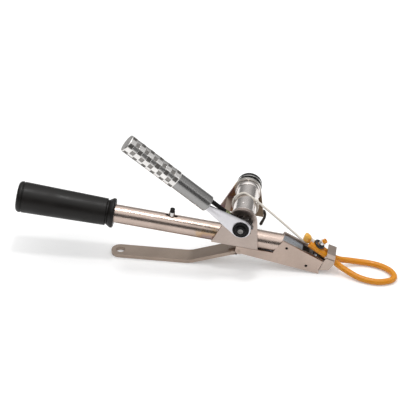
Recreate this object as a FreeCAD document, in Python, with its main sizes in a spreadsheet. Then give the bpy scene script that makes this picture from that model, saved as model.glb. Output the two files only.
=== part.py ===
import FreeCAD, Part
import math
import os

import Sketcher

# A bander: a hand tool that draws a loop of latex tubing tight, crimps a clip on it and cuts the tail.
# The tube frame has X forward along the main tube, Y away from the near side, Z up, and X = 0 at the spool.
# The finished part stands on its squeeze lever, so the tube frame is pitched nose down onto the floor frame.

document = FreeCAD.newDocument("Bander")
sheet = document.addObject("Spreadsheet::Sheet", "Sizes")

# Driving sizes in millimetres and degrees. Places are measured from the spool axis in the tube frame,
# except those of the squeeze bar, which are measured on the floor from the hang hole.
DRIVING_SIZES = [
    ("pitch_angle", 6.5, "nose-down pitch of the tube over the floor"),
    ("axis_reach", 163.6, "from the hang hole forward to the tube frame's origin"),
    ("axis_height", 44.0, "from the floor up to the tube frame's origin"),
    ("seat_gap", 0.1, "clearance between faces that meet"),
    ("swing_gap", 0.3, "clearance between moving curved faces"),
    ("pin_fit", 0.05, "radial clearance of a running pin"),

    ("tube_radius", 12.7, "main tube, outer"),
    ("tube_wall", 2.0, "main tube wall"),
    ("tube_behind", 300.0, "tube behind the spool axis"),
    ("slot_width", 4.6, "indicator slot"),
    ("slot_length", 17.0, "indicator slot"),
    ("slot_behind", 95.5, "middle of the indicator slot behind the axis"),

    ("grip_end_wall", 6.8, "rubber behind the tube's end"),
    ("grip_rear_radius", 21.4, "hand grip at its rear"),
    ("grip_waist_radius", 18.3, "hand grip before its groove"),
    ("grip_waist_behind", 191.0, "end of the grip's taper behind the axis"),
    ("grip_groove_radius", 16.3, "groove floor"),
    ("grip_groove_slope", 0.8, "run of the groove's slanted side"),
    ("grip_collar_radius", 20.4, "collar in front of the hand"),
    ("grip_collar_foot", 188.4, "foot of the collar's cone behind the axis"),
    ("grip_collar_rim", 178.0, "rim of the collar's cone behind the axis"),
    ("grip_front_behind", 170.5, "front of the grip behind the axis"),
    ("grip_rear_round", 7.0, "rounding of the grip's rear rim"),
    ("grip_collar_round", 4.5, "rounding of the collar's rims"),
    ("end_groove_place", 9.0, "groove round the rear of the grip, from its end"),
    ("end_groove_width", 1.4, "groove round the rear of the grip"),
    ("end_groove_depth", 0.7, "groove round the rear of the grip"),

    ("spool_height", 33.5, "spool axis over the tube's centre line"),
    ("bracket_plate", 4.5, "thickness of the bracket plates"),
    ("near_head_round", 20.0, "rounded head of the near plate"),
    ("far_head_round", 18.4, "rounded head of the far plate"),
    ("far_head_behind", 1.2, "middle of the far plate's head behind the axis"),
    ("far_head_drop", 1.0, "middle of the far plate's head under the axis"),
    ("bracket_foot_rear", 37.0, "rear corner of the plates behind the axis"),
    ("bracket_foot_front", 26.5, "front corner of the plates"),
    ("bracket_foot_drop", 6.5, "foot of the plates under the centre line"),
    ("far_plate_reach", 63.0, "inner face of the far plate"),
    ("cross_bar_width", 8.0, "cross bar along the tube"),
    ("cross_bar_thickness", 4.3, "cross bar"),
    ("cross_bar_behind", 27.2, "rear of the cross bar behind the axis"),
    ("bush_radius", 8.0, "bush of the spool shaft"),

    ("head_half_width", 12.0, "head channel, outside"),
    ("head_wall", 3.0, "wall and floor of the head channel"),
    ("head_rear", 3.0, "rear end of the channel behind the axis"),
    ("head_shoulder_drop", 10.6, "low top edge beside the tube, under the centre line"),
    ("head_step", 48.0, "where the channel steps up in front of the tube"),
    ("head_step_drop", 8.0, "foot of the slanted rear edge"),
    ("head_peak", 58.5, "highest corner of the channel"),
    ("head_peak_rise", 11.0, "highest corner of the channel"),
    ("head_brow_ahead", 3.5, "upper front corner in front of the toe"),
    ("head_brow_drop", 11.0, "upper front corner"),
    ("head_chin_behind", 1.0, "where the front edge turns, behind the toe"),
    ("head_chin_drop", 24.4, "where the front edge turns"),
    ("head_toe", 113.0, "lower front corner, which stands on the floor"),
    ("head_toe_drop", 31.4, "lower front corner"),
    ("head_heel_drop", 20.6, "bottom edge under the spool axis"),
    ("head_floor_start", 34.0, "rear end of the channel's floor"),
    ("pivot_reach", 2.0, "squeeze pivot"),
    ("pivot_drop", 17.5, "squeeze pivot under the centre line"),
    ("pivot_boss_radius", 5.0, "boss round the squeeze pivot"),
    ("pivot_pin_radius", 2.5, "squeeze pivot pin"),
    ("cross_pin_radius", 2.0, "pins through the head"),
    ("head_pin_reach", 64.7, "rear cross pin"),
    ("head_pin_rise", 0.5, "rear cross pin"),
    ("block_pin_behind", 18.4, "front cross pin behind the toe"),
    ("block_pin_drop", 22.0, "front cross pin"),
    ("plug_rear", 20.0, "rear end of the head plug inside the tube"),
    ("plug_tongue_start", 40.0, "where the plug turns into a tongue"),
    ("plug_front", 86.0, "front end of the plug's tongue"),
    ("plug_tongue_drop", 8.5, "lower face of the tongue"),
    ("plug_tongue_rise", 9.0, "upper face of the tongue"),
    ("plug_tongue_dip", 2.0, "upper face of the tongue at its front, under the centre line"),

    ("block_cheek", 2.7, "cheek of the front block inside the channel"),
    ("block_cheek_behind", 25.0, "rear end of the cheeks behind the toe"),
    ("block_cheek_lap", 1.0, "lap of the cheeks' lower edge with the nose"),
    ("block_heel_gap", 0.2, "heel of the nose behind the toe"),
    ("block_heel_drop", 25.8, "heel of the nose"),
    ("block_toe_ahead", 0.3, "lower front corner of the nose in front of the strands' point"),
    ("block_toe_drop", 22.3, "lower front corner of the nose"),
    ("block_chest_ahead", 5.0, "front face of the nose"),
    ("block_chest_drop", 12.6, "front face of the nose"),
    ("block_lip_ahead", 5.8, "upper front corner of the nose"),
    ("block_lip_drop", 7.4, "upper front corner of the nose"),
    ("block_crest_behind", 6.2, "upper rear corner of the nose"),
    ("block_crest_drop", 4.8, "upper rear corner of the nose"),
    ("block_throat_behind", 9.0, "where the rear face of the nose turns"),
    ("block_throat_drop", 10.5, "where the rear face of the nose turns"),
    ("bridge_root", 0.2, "lap of the bridge with the nose"),
    ("bridge_front_ahead", 5.6, "upper front corner of the bridge"),
    ("bridge_front_rise", 0.6, "upper front corner of the bridge"),
    ("bridge_rear_behind", 6.0, "upper rear corner of the bridge"),
    ("bridge_rear_rise", 3.4, "upper rear corner of the bridge"),
    ("block_cheek_drop", 1.4, "upper rear corner of the cheeks"),
    ("bridge_step", 1.2, "near side of the bridge behind the near side of the nose"),
    ("window_half_width", 9.6, "band window in the front block"),
    ("window_half_height", 5.4, "band window in the front block"),

    ("band_radius", 4.2, "latex tubing, outer"),
    ("strand_offset", 4.3, "strand from the middle plane"),
    ("band_angle", 30.0, "fall of the strands along the head"),
    ("band_ahead", 13.0, "point of the strands inside the window, in front of the toe"),
    ("band_drop", 9.1, "point of the strands inside the window"),
    ("clip_wall", 0.8, "crimp clip"),
    ("clip_length", 7.0, "crimp clip"),
    ("clip_back", 5.5, "crimp clip behind the window's point"),
    ("strand_near_back", 36.5, "cut end of the near strand behind the window's point"),
    ("strand_far_back", 36.6, "tied end of the far strand behind the window's point"),
    ("strand_lead", 5.8, "where the strands bend in front of the window's point"),
    ("loop_touch", 337.0, "where the loop comes to lie on the floor, from the hang hole"),
    ("loop_touch_half", 19.8, "half width of the loop there"),
    ("loop_end", 375.0, "far end of the loop, from the hang hole"),
    ("loop_end_half", 24.0, "half width of the loop's end, before rounding"),
    ("strand_bend", 20.0, "bend in front of the block"),
    ("touch_bend", 60.0, "bend where the loop comes to lie"),
    ("loop_bend", 21.5, "round end of the loop"),
    ("ring_radius", 6.1, "centre line of the rubber ring"),
    ("ring_thickness", 3.6, "rubber ring"),
    ("ring_back", 24.6, "rubber ring behind the window along the strands"),
    ("tail_radius", 3.25, "latex tail"),
    ("tail_length", 12.0, "latex tail"),
    ("tail_lean", 12.0, "lean of the tail towards the nose"),
    ("knob_radius", 5.8, "tied end of the latex"),
    ("cord_radius", 1.6, "draw cord"),

    ("shaft_radius", 6.0, "spool shaft"),
    ("drum_radius", 15.5, "spool drum"),
    ("drum_flange_radius", 17.9, "near flange of the drum"),
    ("drum_flange_width", 9.2, "near flange of the drum"),
    ("anchor_radius", 0.9, "cord hole in the drum"),
    ("anchor_behind", 3.0, "cord hole behind the spool axis"),
    ("anchor_reach", 7.0, "cord hole along the drum"),
    ("wheel_radius", 16.0, "tips of the ratchet wheel"),
    ("wheel_root_radius", 12.6, "roots of the ratchet wheel"),
    ("wheel_width", 8.0, "ratchet wheel"),
    ("wheel_teeth", 12, "teeth of the ratchet wheel"),
    ("spacer_radius", 9.0, "spacers on the shaft"),
    ("spacer_width", 4.8, "spacer between the near plate and the wheel"),
    ("arm_thickness", 5.0, "ratchet arm"),
    ("pivot_washer_radius", 11.2, "washer under the bolt"),
    ("pivot_washer_width", 2.0, "washer under the bolt"),
    ("bolt_head_radius", 7.0, "pivot bolt"),
    ("bolt_head_height", 2.6, "pivot bolt"),
    ("bolt_shank_radius", 4.0, "pivot bolt"),
    ("bolt_socket", 6.0, "across the flats of the bolt's socket"),
    ("outer_spacer_width", 1.8, "spacer outside the far plate"),
    ("hold_wheel_radius", 17.2, "hold ratchet"),
    ("hold_wheel_depth", 1.8, "teeth of the hold ratchet"),
    ("hold_wheel_width", 3.5, "hold ratchet"),
    ("hold_wheel_teeth", 24, "teeth of the hold ratchet"),
    ("spool_washer_width", 2.0, "bright washer outside the hold ratchet"),
    ("cap_width", 7.0, "end cap of the spool"),
    ("cap_round", 3.5, "rounding of the end cap"),

    ("lever_angle", 31.5, "ratchet lever over the tube's rear"),
    ("arm_head_radius", 14.0, "head of the ratchet arm"),
    ("arm_neck_length", 55.0, "end of the arm's taper from the axis"),
    ("arm_neck_half", 6.0, "half width of the arm's neck"),
    ("arm_length", 75.0, "end of the arm's tongue"),
    ("sleeve_start", 56.0, "sleeve, from the axis"),
    ("sleeve_end", 111.0, "sleeve, from the axis"),
    ("sleeve_radius", 11.5, "sleeve"),
    ("sleeve_axis", 32.2, "sleeve and grip on the near side of the tube's plane"),
    ("handle_end", 195.0, "end of the knurled grip"),
    ("handle_front_radius", 12.5, "knurled grip at the sleeve"),
    ("handle_end_radius", 12.8, "knurled grip at its end"),
    ("recess_side", 6.3, "square recess of the knurling"),
    ("recess_depth", 1.2, "square recess of the knurling"),
    ("recess_pitch", 7.4, "spacing of the rings of recesses"),
    ("recess_rings", 11, "rings of recesses"),
    ("recesses_round", 6, "recesses in a ring"),
    ("plunger_radius", 3.0, "sprung pawl"),
    ("plunger_axis", 26.2, "pawl on the near side of the tube's plane"),
    ("plunger_offset", 3.0, "pawl over the lever's centre line"),
    ("plunger_end", 85.0, "inner end of the pawl inside the sleeve"),
    ("plunger_travel", 4.0, "stroke of the pawl"),

    ("indicator_radius", 4.0, "indicator pin"),
    ("indicator_shank", 2.0, "indicator pin inside the slot"),
    ("indicator_height", 6.2, "indicator pin over the tube"),
    ("indicator_cap_radius", 3.25, "cap of the indicator pin"),
    ("indicator_cap_height", 4.4, "cap of the indicator pin"),
    ("slider_length", 30.0, "slider inside the tube"),

    ("bar_width", 25.0, "squeeze bar"),
    ("bar_thickness", 5.0, "squeeze bar"),
    ("bar_length", 96.0, "flat of the squeeze bar in front of the hang hole"),
    ("hang_hole_radius", 6.2, "hang hole"),
    ("riser_behind", 11.6, "front end of the riser behind the tube frame's origin"),
    ("riser_drop", 22.4, "front end of the riser under the tube frame's origin"),
    ("bar_bend_radius", 36.0, "bend of the squeeze bar"),
    ("cam_half_width", 6.0, "cam arm and push bar"),
    ("cam_hub_radius", 4.4, "hub of the cam arm"),
    ("cam_tip_radius", 2.2, "tip of the cam arm"),
    ("cam_tail_behind", 10.5, "rear end of the cam arm, on the riser"),
    ("cam_tail_drop", 21.9, "rear end of the cam arm, on the riser"),
    ("roller_reach", 26.0, "cam roller"),
    ("roller_drop", 16.2, "cam roller under the centre line"),
    ("roller_radius", 3.0, "cam roller"),
    ("roller_width", 5.0, "cam roller"),
    ("roller_pin_radius", 1.2, "pin of the cam roller"),

    ("ram_height", 6.0, "push bar"),
    ("ram_lift", 0.15, "clearance of the push bar over the channel's floor"),
    ("ram_heel_angle", 40.0, "slant of the push bar's heel"),
    ("die_rear_behind", 17.0, "rear of the crimp die behind the toe"),
    ("die_front_behind", 6.2, "front of the crimp die behind the toe"),
    ("die_top_drop", 10.5, "top of the crimp die under the centre line"),
    ("blade_behind", 12.5, "cutter blade behind the toe"),
    ("blade_thickness", 2.4, "cutter blade"),
    ("blade_edge_drop", 6.0, "edge of the cutter blade under the centre line"),

    ("hold_pawl_behind", 22.0, "pivot of the hold pawl behind the axis"),
    ("hold_pawl_rise", 8.0, "pivot of the hold pawl"),
    ("hold_pawl_hub", 5.0, "hub of the hold pawl"),
    ("hold_pawl_width", 3.2, "hold pawl"),
    ("hold_screw_radius", 2.5, "shank of the hold pawl's screw"),
    ("hold_screw_head", 4.5, "head of the hold pawl's screw"),
    ("hold_screw_head_height", 2.5, "head of the hold pawl's screw"),
    ("pawl_nose_behind", 3.0, "nose of the hold pawl behind the axis"),
    ("pawl_nose_radius", 0.8, "nose of the hold pawl"),
    ("pawl_tail_reach", 25.0, "tail of the hold pawl"),
    ("pawl_tail_drop", 4.0, "tail of the hold pawl"),
    ("pawl_tail_radius", 3.2, "tail of the hold pawl"),
    ("pawl_throat_reach", 6.0, "hollow in front of the nose"),
    ("pawl_throat_rise", 11.5, "hollow in front of the nose"),
    ("pawl_throat_radius", 5.0, "hollow in front of the nose"),
    ("pawl_hook_drop", 22.0, "finger hook under the tail"),
    ("hook_wire_radius", 1.5, "wire of the finger hook"),
]


class Size:
    """A number with the expression that gives it in the document."""

    def __init__(self, number, text):
        self.number = number
        self.text = text

    def __add__(self, other):
        other = as_size(other)
        return Size(self.number + other.number, "(" + self.text + " + " + other.text + ")")

    def __radd__(self, other):
        return as_size(other) + self

    def __sub__(self, other):
        other = as_size(other)
        return Size(self.number - other.number, "(" + self.text + " - " + other.text + ")")

    def __rsub__(self, other):
        return as_size(other) - self

    def __mul__(self, other):
        other = as_size(other)
        return Size(self.number * other.number, "(" + self.text + " * " + other.text + ")")

    def __rmul__(self, other):
        return as_size(other) * self

    def __truediv__(self, other):
        other = as_size(other)
        return Size(self.number / other.number, "(" + self.text + " / " + other.text + ")")

    def __neg__(self):
        return Size(-self.number, "(0 - " + self.text + ")")


class Sheet:
    """The driving sizes by name."""


size = Sheet()


def as_size(value):
    if isinstance(value, Size):
        return value
    return Size(float(value), repr(float(value)))


def sine(angle):
    return Size(math.sin(math.radians(angle.number)), "sin(" + angle.text + ")")


def cosine(angle):
    return Size(math.cos(math.radians(angle.number)), "cos(" + angle.text + ")")


def tangent(angle):
    return sine(angle) / cosine(angle)


def fill_sheet():
    for row, (alias, number, meaning) in enumerate(DRIVING_SIZES, start=1):
        sheet.set("A" + str(row), meaning)
        sheet.set("B" + str(row), str(number))
        sheet.setAlias("B" + str(row), alias)
        setattr(size, alias, Size(float(number), "Sizes." + alias))
    document.recompute()


def bind(feature, target, value):
    feature.setExpression(target, as_size(value).text)


def vector(x, y, z):
    return FreeCAD.Vector(as_size(x).number, as_size(y).number, as_size(z).number)


def turned(axis, angle):
    return FreeCAD.Rotation(axis, as_size(angle).number)


# The frames in which the pieces are modelled
ALONG_X = FreeCAD.Vector(1, 0, 0)
ALONG_Y = FreeCAD.Vector(0, 1, 0)
ALONG_Z = FreeCAD.Vector(0, 0, 1)
FLOOR_FRAME = FreeCAD.Placement()


def tube_frame():
    return FreeCAD.Placement(vector(size.axis_reach, 0, size.axis_height), turned(ALONG_Y, size.pitch_angle))


def frame_in_tube(x, y, z, angle=0):
    return tube_frame().multiply(FreeCAD.Placement(vector(x, y, z), turned(ALONG_Y, angle)))


def spool_frame():
    return frame_in_tube(0, 0, size.spool_height)


def lever_frame():
    """The ratchet lever reaches along -X of this frame, and Z is its upper side."""
    return frame_in_tube(0, 0, size.spool_height, size.lever_angle)


def band_frame():
    """X runs forward along the strands of the band, and Z is at right angles to them."""
    return frame_in_tube(band_x(), 0, -size.band_drop, size.band_angle)


# Sketches and features
def new_body(label, frame):
    body = document.addObject("PartDesign::Body", label)
    body.Label = label
    body.Placement = frame
    return body


def new_sketch(body, role, offset=0):
    plane = next(item for item in body.Origin.OriginFeatures if item.Role == role)
    sketch = body.newObject("Sketcher::SketchObject", "Sketch_" + body.Label)
    sketch.AttachmentSupport = [(plane, "")]
    sketch.MapMode = "FlatFace"
    bind(sketch, "AttachmentOffset.Base.z", offset)
    return sketch


def constrain(sketch, kind, *places, value=None):
    if value is None:
        sketch.addConstraint(Sketcher.Constraint(kind, *places))
        return
    number = sketch.addConstraint(Sketcher.Constraint(kind, *places, value.number))
    sketch.setExpression("Constraints[" + str(number) + "]", value.text)


def pin_point(sketch, geometry, end, x, y):
    """Holds a point of the sketch at its distances from the origin."""
    for kind, value in (("DistanceX", as_size(x)), ("DistanceY", as_size(y))):
        if value.number == 0:
            constrain(sketch, "PointOnObject", geometry, end, -2 if kind == "DistanceX" else -1)
        else:
            constrain(sketch, kind, -1, 1, geometry, end, value=value)


def draw_polygon(sketch, corners):
    first = sketch.GeometryCount
    points = [vector(x, y, 0) for x, y in corners]
    count = len(corners)
    for place in range(count):
        sketch.addGeometry(Part.LineSegment(points[place], points[(place + 1) % count]))
    for place, (x, y) in enumerate(corners):
        constrain(sketch, "Coincident", first + place, 2, first + (place + 1) % count, 1)
        pin_point(sketch, first + place, 1, x, y)


def draw_circle(sketch, x, y, radius):
    circle = sketch.addGeometry(Part.Circle(vector(x, y, 0), ALONG_Z, radius.number))
    pin_point(sketch, circle, 3, x, y)
    constrain(sketch, "Radius", circle, value=radius)


class Round:
    """A rounded corner of an outline: the centre and radius of its arc, which may bulge inward."""

    def __init__(self, x, y, radius=0, inward=False):
        self.centre = vector(x, y, 0)
        self.x = x
        self.y = y
        self.radius = as_size(radius)
        self.reach = -self.radius.number if inward else self.radius.number

    def touch(self, normal):
        return self.centre + normal * self.reach


def tangent_normal(start, end):
    """The outward normal of the line that touches two rounded corners in a row, anticlockwise."""
    along = end.centre - start.centre
    length = along.Length
    along.normalize()
    lean = (start.reach - end.reach) / length
    right = FreeCAD.Vector(along.y, -along.x, 0)
    return along * lean + right * math.sqrt(1 - lean * lean)


def draw_rounded(sketch, corners):
    """Lines and tangent arcs round a list of rounded corners, anticlockwise."""
    count = len(corners)
    normals = [tangent_normal(corners[place], corners[(place + 1) % count]) for place in range(count)]
    lines = []
    for place, normal in enumerate(normals):
        after = corners[(place + 1) % count]
        lines.append(sketch.addGeometry(Part.LineSegment(corners[place].touch(normal), after.touch(normal))))
    for place, corner in enumerate(corners):
        line_in = lines[place - 1]
        line_out = lines[place]
        if corner.reach == 0:
            constrain(sketch, "Coincident", line_in, 2, line_out, 1)
            pin_point(sketch, line_out, 1, corner.x, corner.y)
            continue
        ends = [normals[place - 1] * corner.reach, normals[place] * corner.reach]
        arrive, leave = 1, 2
        if corner.reach < 0:
            ends.reverse()
            arrive, leave = 2, 1
        angles = [math.atan2(end.y, end.x) for end in ends]
        circle = Part.Circle(corner.centre, ALONG_Z, corner.radius.number)
        arc = sketch.addGeometry(Part.ArcOfCircle(circle, angles[0], angles[1]))
        pin_point(sketch, arc, 3, corner.x, corner.y)
        constrain(sketch, "Radius", arc, value=corner.radius)
        constrain(sketch, "Tangent", line_in, 2, arc, arrive)
        constrain(sketch, "Tangent", arc, leave, line_out, 1)


def draw(sketch, outline):
    if isinstance(outline[0], Round):
        draw_rounded(sketch, outline)
    else:
        draw_polygon(sketch, outline)


def pad(body, outlines, near, far, role="XZ_Plane"):
    """Adds the outlines, drawn in XZ and thick from near to far in Y, to the body."""
    # The normal of the XZ plane points to -Y, that of the other planes along their own axis
    start = -as_size(far) if role == "XZ_Plane" else as_size(near)
    sketch = new_sketch(body, role, start)
    for outline in outlines:
        draw(sketch, outline)
    feature = body.newObject("PartDesign::Pad", "Pad_" + body.Label)
    feature.Profile = sketch
    bind(feature, "Length", as_size(far) - near)
    document.recompute()
    return feature


def pocket(body, outlines, near, far, role="XZ_Plane"):
    """Cuts the outlines, drawn in XZ and thick from near to far in Y, from the body."""
    before = body.Shape.Volume
    start = -as_size(far) if role == "XZ_Plane" else as_size(near)
    sketch = new_sketch(body, role, start)
    for outline in outlines:
        if isinstance(outline, Round):
            draw_circle(sketch, outline.x, outline.y, outline.radius)
        else:
            draw(sketch, outline)
    feature = body.newObject("PartDesign::Pocket", "Pocket_" + body.Label)
    feature.Profile = sketch
    feature.Reversed = True
    bind(feature, "Length", as_size(far) - near)
    document.recompute()
    if body.Shape.Volume >= before:
        raise ValueError(body.Label + ": a pocket cut nothing")
    return feature


def prism(label, frame, outline, near, far, role="XZ_Plane"):
    body = new_body(label, frame)
    pad(body, [outline], near, far, role)
    return body


def disc(body, x, z, radius, near, far, role="XZ_Plane"):
    """Adds a round disc to the body."""
    start = -as_size(far) if role == "XZ_Plane" else as_size(near)
    sketch = new_sketch(body, role, start)
    draw_circle(sketch, x, z, as_size(radius))
    feature = body.newObject("PartDesign::Pad", "Disc_" + body.Label)
    feature.Profile = sketch
    bind(feature, "Length", as_size(far) - near)
    document.recompute()
    return feature


def revolve(label, frame, profile, along):
    """A turned piece: the profile's points are (place along the axis, radius)."""
    body = new_body(label, frame)
    sketch = new_sketch(body, "XY_Plane")
    if along == "X":
        draw_polygon(sketch, profile)
        axis = "H_Axis"
    else:
        draw_polygon(sketch, [(radius, place) for place, radius in profile])
        axis = "V_Axis"
    feature = body.newObject("PartDesign::Revolution", "Turned_" + label)
    feature.Profile = sketch
    feature.ReferenceAxis = (sketch, [axis])
    feature.Angle = 360
    document.recompute()
    return body


def ring_profile(start, end, inner, outer):
    return [(start, inner), (end, inner), (end, outer), (start, outer)]


def corner_edges(shape, corners):
    """The names of the straight edges along Y that pass through the given corners."""
    names = []
    for number, edge in enumerate(shape.Edges, start=1):
        ends = [edge.Vertexes[0].Point, edge.Vertexes[-1].Point]
        if abs(ends[0].y - ends[1].y) < 0.1:
            continue
        for x, z in corners:
            wanted = vector(x, 0, z)
            if all(math.hypot(end.x - wanted.x, end.z - wanted.z) < 0.01 for end in ends):
                names.append("Edge" + str(number))
    return names


def rim_edges(shape, rims):
    """The names of the circular edges with the given (place along the axis, radius)."""
    names = []
    for number, edge in enumerate(shape.Edges, start=1):
        if not isinstance(edge.Curve, Part.Circle):
            continue
        centre = edge.Curve.Center
        for place, radius in rims:
            near_place = min(abs(centre.x - place.number), abs(centre.y - place.number)) < 0.01
            if near_place and abs(edge.Curve.Radius - radius.number) < 0.01:
                names.append("Edge" + str(number))
    return names


def soften(body, kind, edges, amount):
    """Rounds (Fillet) or bevels (Chamfer) the named edges of the body."""
    if not edges:
        raise ValueError(body.Label + ": no edge to soften")
    base = body.Tip
    feature = body.newObject("PartDesign::" + kind, kind + "_" + body.Label)
    feature.Base = (base, edges)
    bind(feature, "Radius" if kind == "Fillet" else "Size", amount)
    document.recompute()
    return feature


def round_corners(body, corners, radius):
    soften(body, "Fillet", corner_edges(body.Tip.Shape, corners), radius)


def round_rims(body, rims, radius):
    soften(body, "Fillet", rim_edges(body.Tip.Shape, rims), radius)


def pattern_round(body, feature, count):
    """Repeats a feature round the body's Y axis."""
    pattern = body.newObject("PartDesign::PolarPattern", "Pattern_" + body.Label)
    pattern.Originals = [feature]
    axis = next(item for item in body.Origin.OriginFeatures if item.Role == "Y_Axis")
    pattern.Axis = (axis, [""])
    pattern.Angle = 360
    bind(pattern, "Occurrences", count)
    body.Tip = pattern
    document.recompute()


def keep_shape(label, frame, shape):
    feature = document.addObject("Part::Feature", label)
    feature.Label = label
    feature.Shape = shape
    feature.Placement = frame
    return feature


def rounded_path(points, radii):
    """A wire of straight runs through the points, joined by tangent arcs of the given radii."""
    edges = []
    start = points[0]
    for before, corner, after, radius in zip(points, points[1:], points[2:], radii):
        back = (before - corner).normalize()
        ahead = (after - corner).normalize()
        turn = math.pi - back.getAngle(ahead)
        reach = radius * math.tan(turn / 2)
        inward = (back + ahead).normalize()
        middle = corner + inward * (radius / math.cos(turn / 2) - radius)
        arrive = corner + back * reach
        leave = corner + ahead * reach
        if (arrive - start).Length > 1e-6:
            edges.append(Part.LineSegment(start, arrive).toShape())
        edges.append(Part.Arc(arrive, middle, leave).toShape())
        start = leave
    edges.append(Part.LineSegment(start, points[-1]).toShape())
    return Part.Wire(edges)


def round_sweep(wire, radius):
    start = wire.Edges[0]
    section = Part.Wire(Part.makeCircle(radius, start.valueAt(start.FirstParameter),
                                        start.tangentAt(start.FirstParameter)))
    solid = wire.makePipeShell([section], True, False)
    if solid.Volume < 0:
        solid.reverse()
    return solid


# Main tube and hand grip
def brow_x():
    return size.head_toe + size.head_brow_ahead


def chin_x():
    return size.head_toe - size.head_chin_behind


def block_pin_x():
    return size.head_toe - size.block_pin_behind


def band_x():
    return size.head_toe + size.band_ahead


def head_floor_line(x):
    """Height of the channel's bottom edge at x."""
    slope = (size.head_toe_drop - size.head_heel_drop) / size.head_toe
    return -size.head_heel_drop - slope * x


def mitre_x(z):
    """The tube's slanted front end, parallel to the channel's rear edge."""
    slope = (size.head_peak - size.head_step) / (size.head_peak_rise + size.head_step_drop)
    return size.head_step - size.swing_gap + slope * (z + size.head_step_drop)


def make_main_tube():
    bore = size.tube_radius - size.tube_wall
    longest = mitre_x(size.tube_radius)
    body = revolve("main_tube", tube_frame(), ring_profile(-size.tube_behind, longest, bore, size.tube_radius), "X")
    above = size.tube_radius * 1.5
    beyond = longest + size.tube_radius
    waste = [(mitre_x(-above), -above), (beyond, -above), (beyond, above), (mitre_x(above), above)]
    pocket(body, [waste], -above, above)
    half_slot = size.slot_width / 2
    half_run = size.slot_length / 2 - half_slot
    slot = [Round(-size.slot_behind - half_run, 0, half_slot), Round(-size.slot_behind + half_run, 0, half_slot)]
    pocket(body, [slot], 0, size.tube_radius * 2, "XY_Plane")


def make_hand_grip():
    rear = -size.tube_behind - size.grip_end_wall
    front = -size.grip_front_behind
    rim = -size.grip_collar_rim
    foot = -size.grip_collar_foot
    waist = -size.grip_waist_behind
    bore = size.tube_radius + size.pin_fit
    bore_end = -size.tube_behind - size.seat_gap
    taper = (size.grip_rear_radius - size.grip_waist_radius) / (waist - rear)
    groove_rear = rear + size.end_groove_place - size.end_groove_width / 2
    groove_front = groove_rear + size.end_groove_width
    rear_lip = size.grip_rear_radius - taper * (groove_rear - rear)
    front_lip = size.grip_rear_radius - taper * (groove_front - rear)
    profile = [
        (rear, as_size(0)), (bore_end, as_size(0)), (bore_end, bore), (front, bore),
        (front, size.grip_collar_radius), (rim, size.grip_collar_radius), (foot, size.grip_groove_radius),
        (waist + size.grip_groove_slope, size.grip_groove_radius), (waist, size.grip_waist_radius),
        (groove_front, front_lip), (groove_front, front_lip - size.end_groove_depth),
        (groove_rear, rear_lip - size.end_groove_depth), (groove_rear, rear_lip),
        (rear, size.grip_rear_radius),
    ]
    body = revolve("hand_grip", tube_frame(), profile, "X")
    round_rims(body, [(rear, size.grip_rear_radius)], size.grip_rear_round)
    round_rims(body, [(front, size.grip_collar_radius), (rim, size.grip_collar_radius)], size.grip_collar_round)


# Bracket of the spool
def near_plate_face():
    return -size.tube_radius - size.seat_gap


def near_plate_outside():
    return near_plate_face() - size.bracket_plate


def far_plate_outside():
    return size.far_plate_reach + size.bracket_plate


def bracket_outline(head):
    return [
        Round(-size.bracket_foot_rear, -size.bracket_foot_drop),
        Round(size.bracket_foot_front, -size.bracket_foot_drop),
        head,
    ]


def make_bracket():
    near_head = Round(as_size(0), size.spool_height, size.near_head_round)
    far_head = Round(-size.far_head_behind, size.spool_height - size.far_head_drop, size.far_head_round)
    plates = [
        ("near", near_head, near_plate_outside(), near_plate_face()),
        ("far", far_head, size.far_plate_reach, far_plate_outside()),
    ]
    shaft_hole = size.shaft_radius + size.pin_fit
    for side, head, near, far in plates:
        plate = prism("bracket_" + side + "_plate", tube_frame(), bracket_outline(head), near, far)
        bush_hole = Round(as_size(0), size.spool_height, size.bush_radius)
        pocket(plate, [bush_hole], near, far)
        if side == "far":
            screw_hole = Round(-size.hold_pawl_behind, size.hold_pawl_rise, size.hold_screw_radius)
            pocket(plate, [screw_hole], near, far)
        revolve(side + "_bush", spool_frame(), ring_profile(near, far, shaft_hole, size.bush_radius), "Y")
    rear = -size.cross_bar_behind
    front = rear + size.cross_bar_width
    under = size.tube_radius + size.pin_fit
    top = under + size.cross_bar_thickness
    bar = [(rear, under), (front, under), (front, top), (rear, top)]
    prism("bracket_cross_bar", tube_frame(), bar, near_plate_face(), size.far_plate_reach)


# Head
def make_head_channel():
    half = size.head_half_width
    toe = head_floor_line(size.head_toe)
    outline = [
        (-size.head_rear, head_floor_line(-size.head_rear)),
        (size.head_toe, toe),
        (chin_x(), -size.head_chin_drop),
        (brow_x(), -size.head_brow_drop),
        (size.head_peak, size.head_peak_rise),
        (size.head_step, -size.head_step_drop),
        (size.head_step, -size.head_shoulder_drop),
        (-size.head_rear, -size.head_shoulder_drop),
    ]
    body = prism("head_channel", tube_frame(), outline, -half, half)
    disc(body, size.pivot_reach, -size.pivot_drop, size.pivot_boss_radius, -half, half)
    inner = half - size.head_wall
    behind = -size.head_toe
    beyond = brow_x() * 1.2
    above = brow_x()
    inside = [
        (behind, above), (behind, -above), (size.head_floor_start, -above),
        (size.head_floor_start, channel_floor(size.head_floor_start)),
        (beyond, channel_floor(beyond)), (beyond, above),
    ]
    pocket(body, [inside], -inner, inner)
    holes = [
        Round(size.pivot_reach, -size.pivot_drop, size.pivot_pin_radius),
        Round(size.head_pin_reach, size.head_pin_rise, size.cross_pin_radius),
        Round(block_pin_x(), -size.block_pin_drop, size.cross_pin_radius),
    ]
    pocket(body, holes, -half, half)


def channel_floor(x):
    """Height of the channel's inner floor at x."""
    return head_floor_line(x) + size.head_wall


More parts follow.
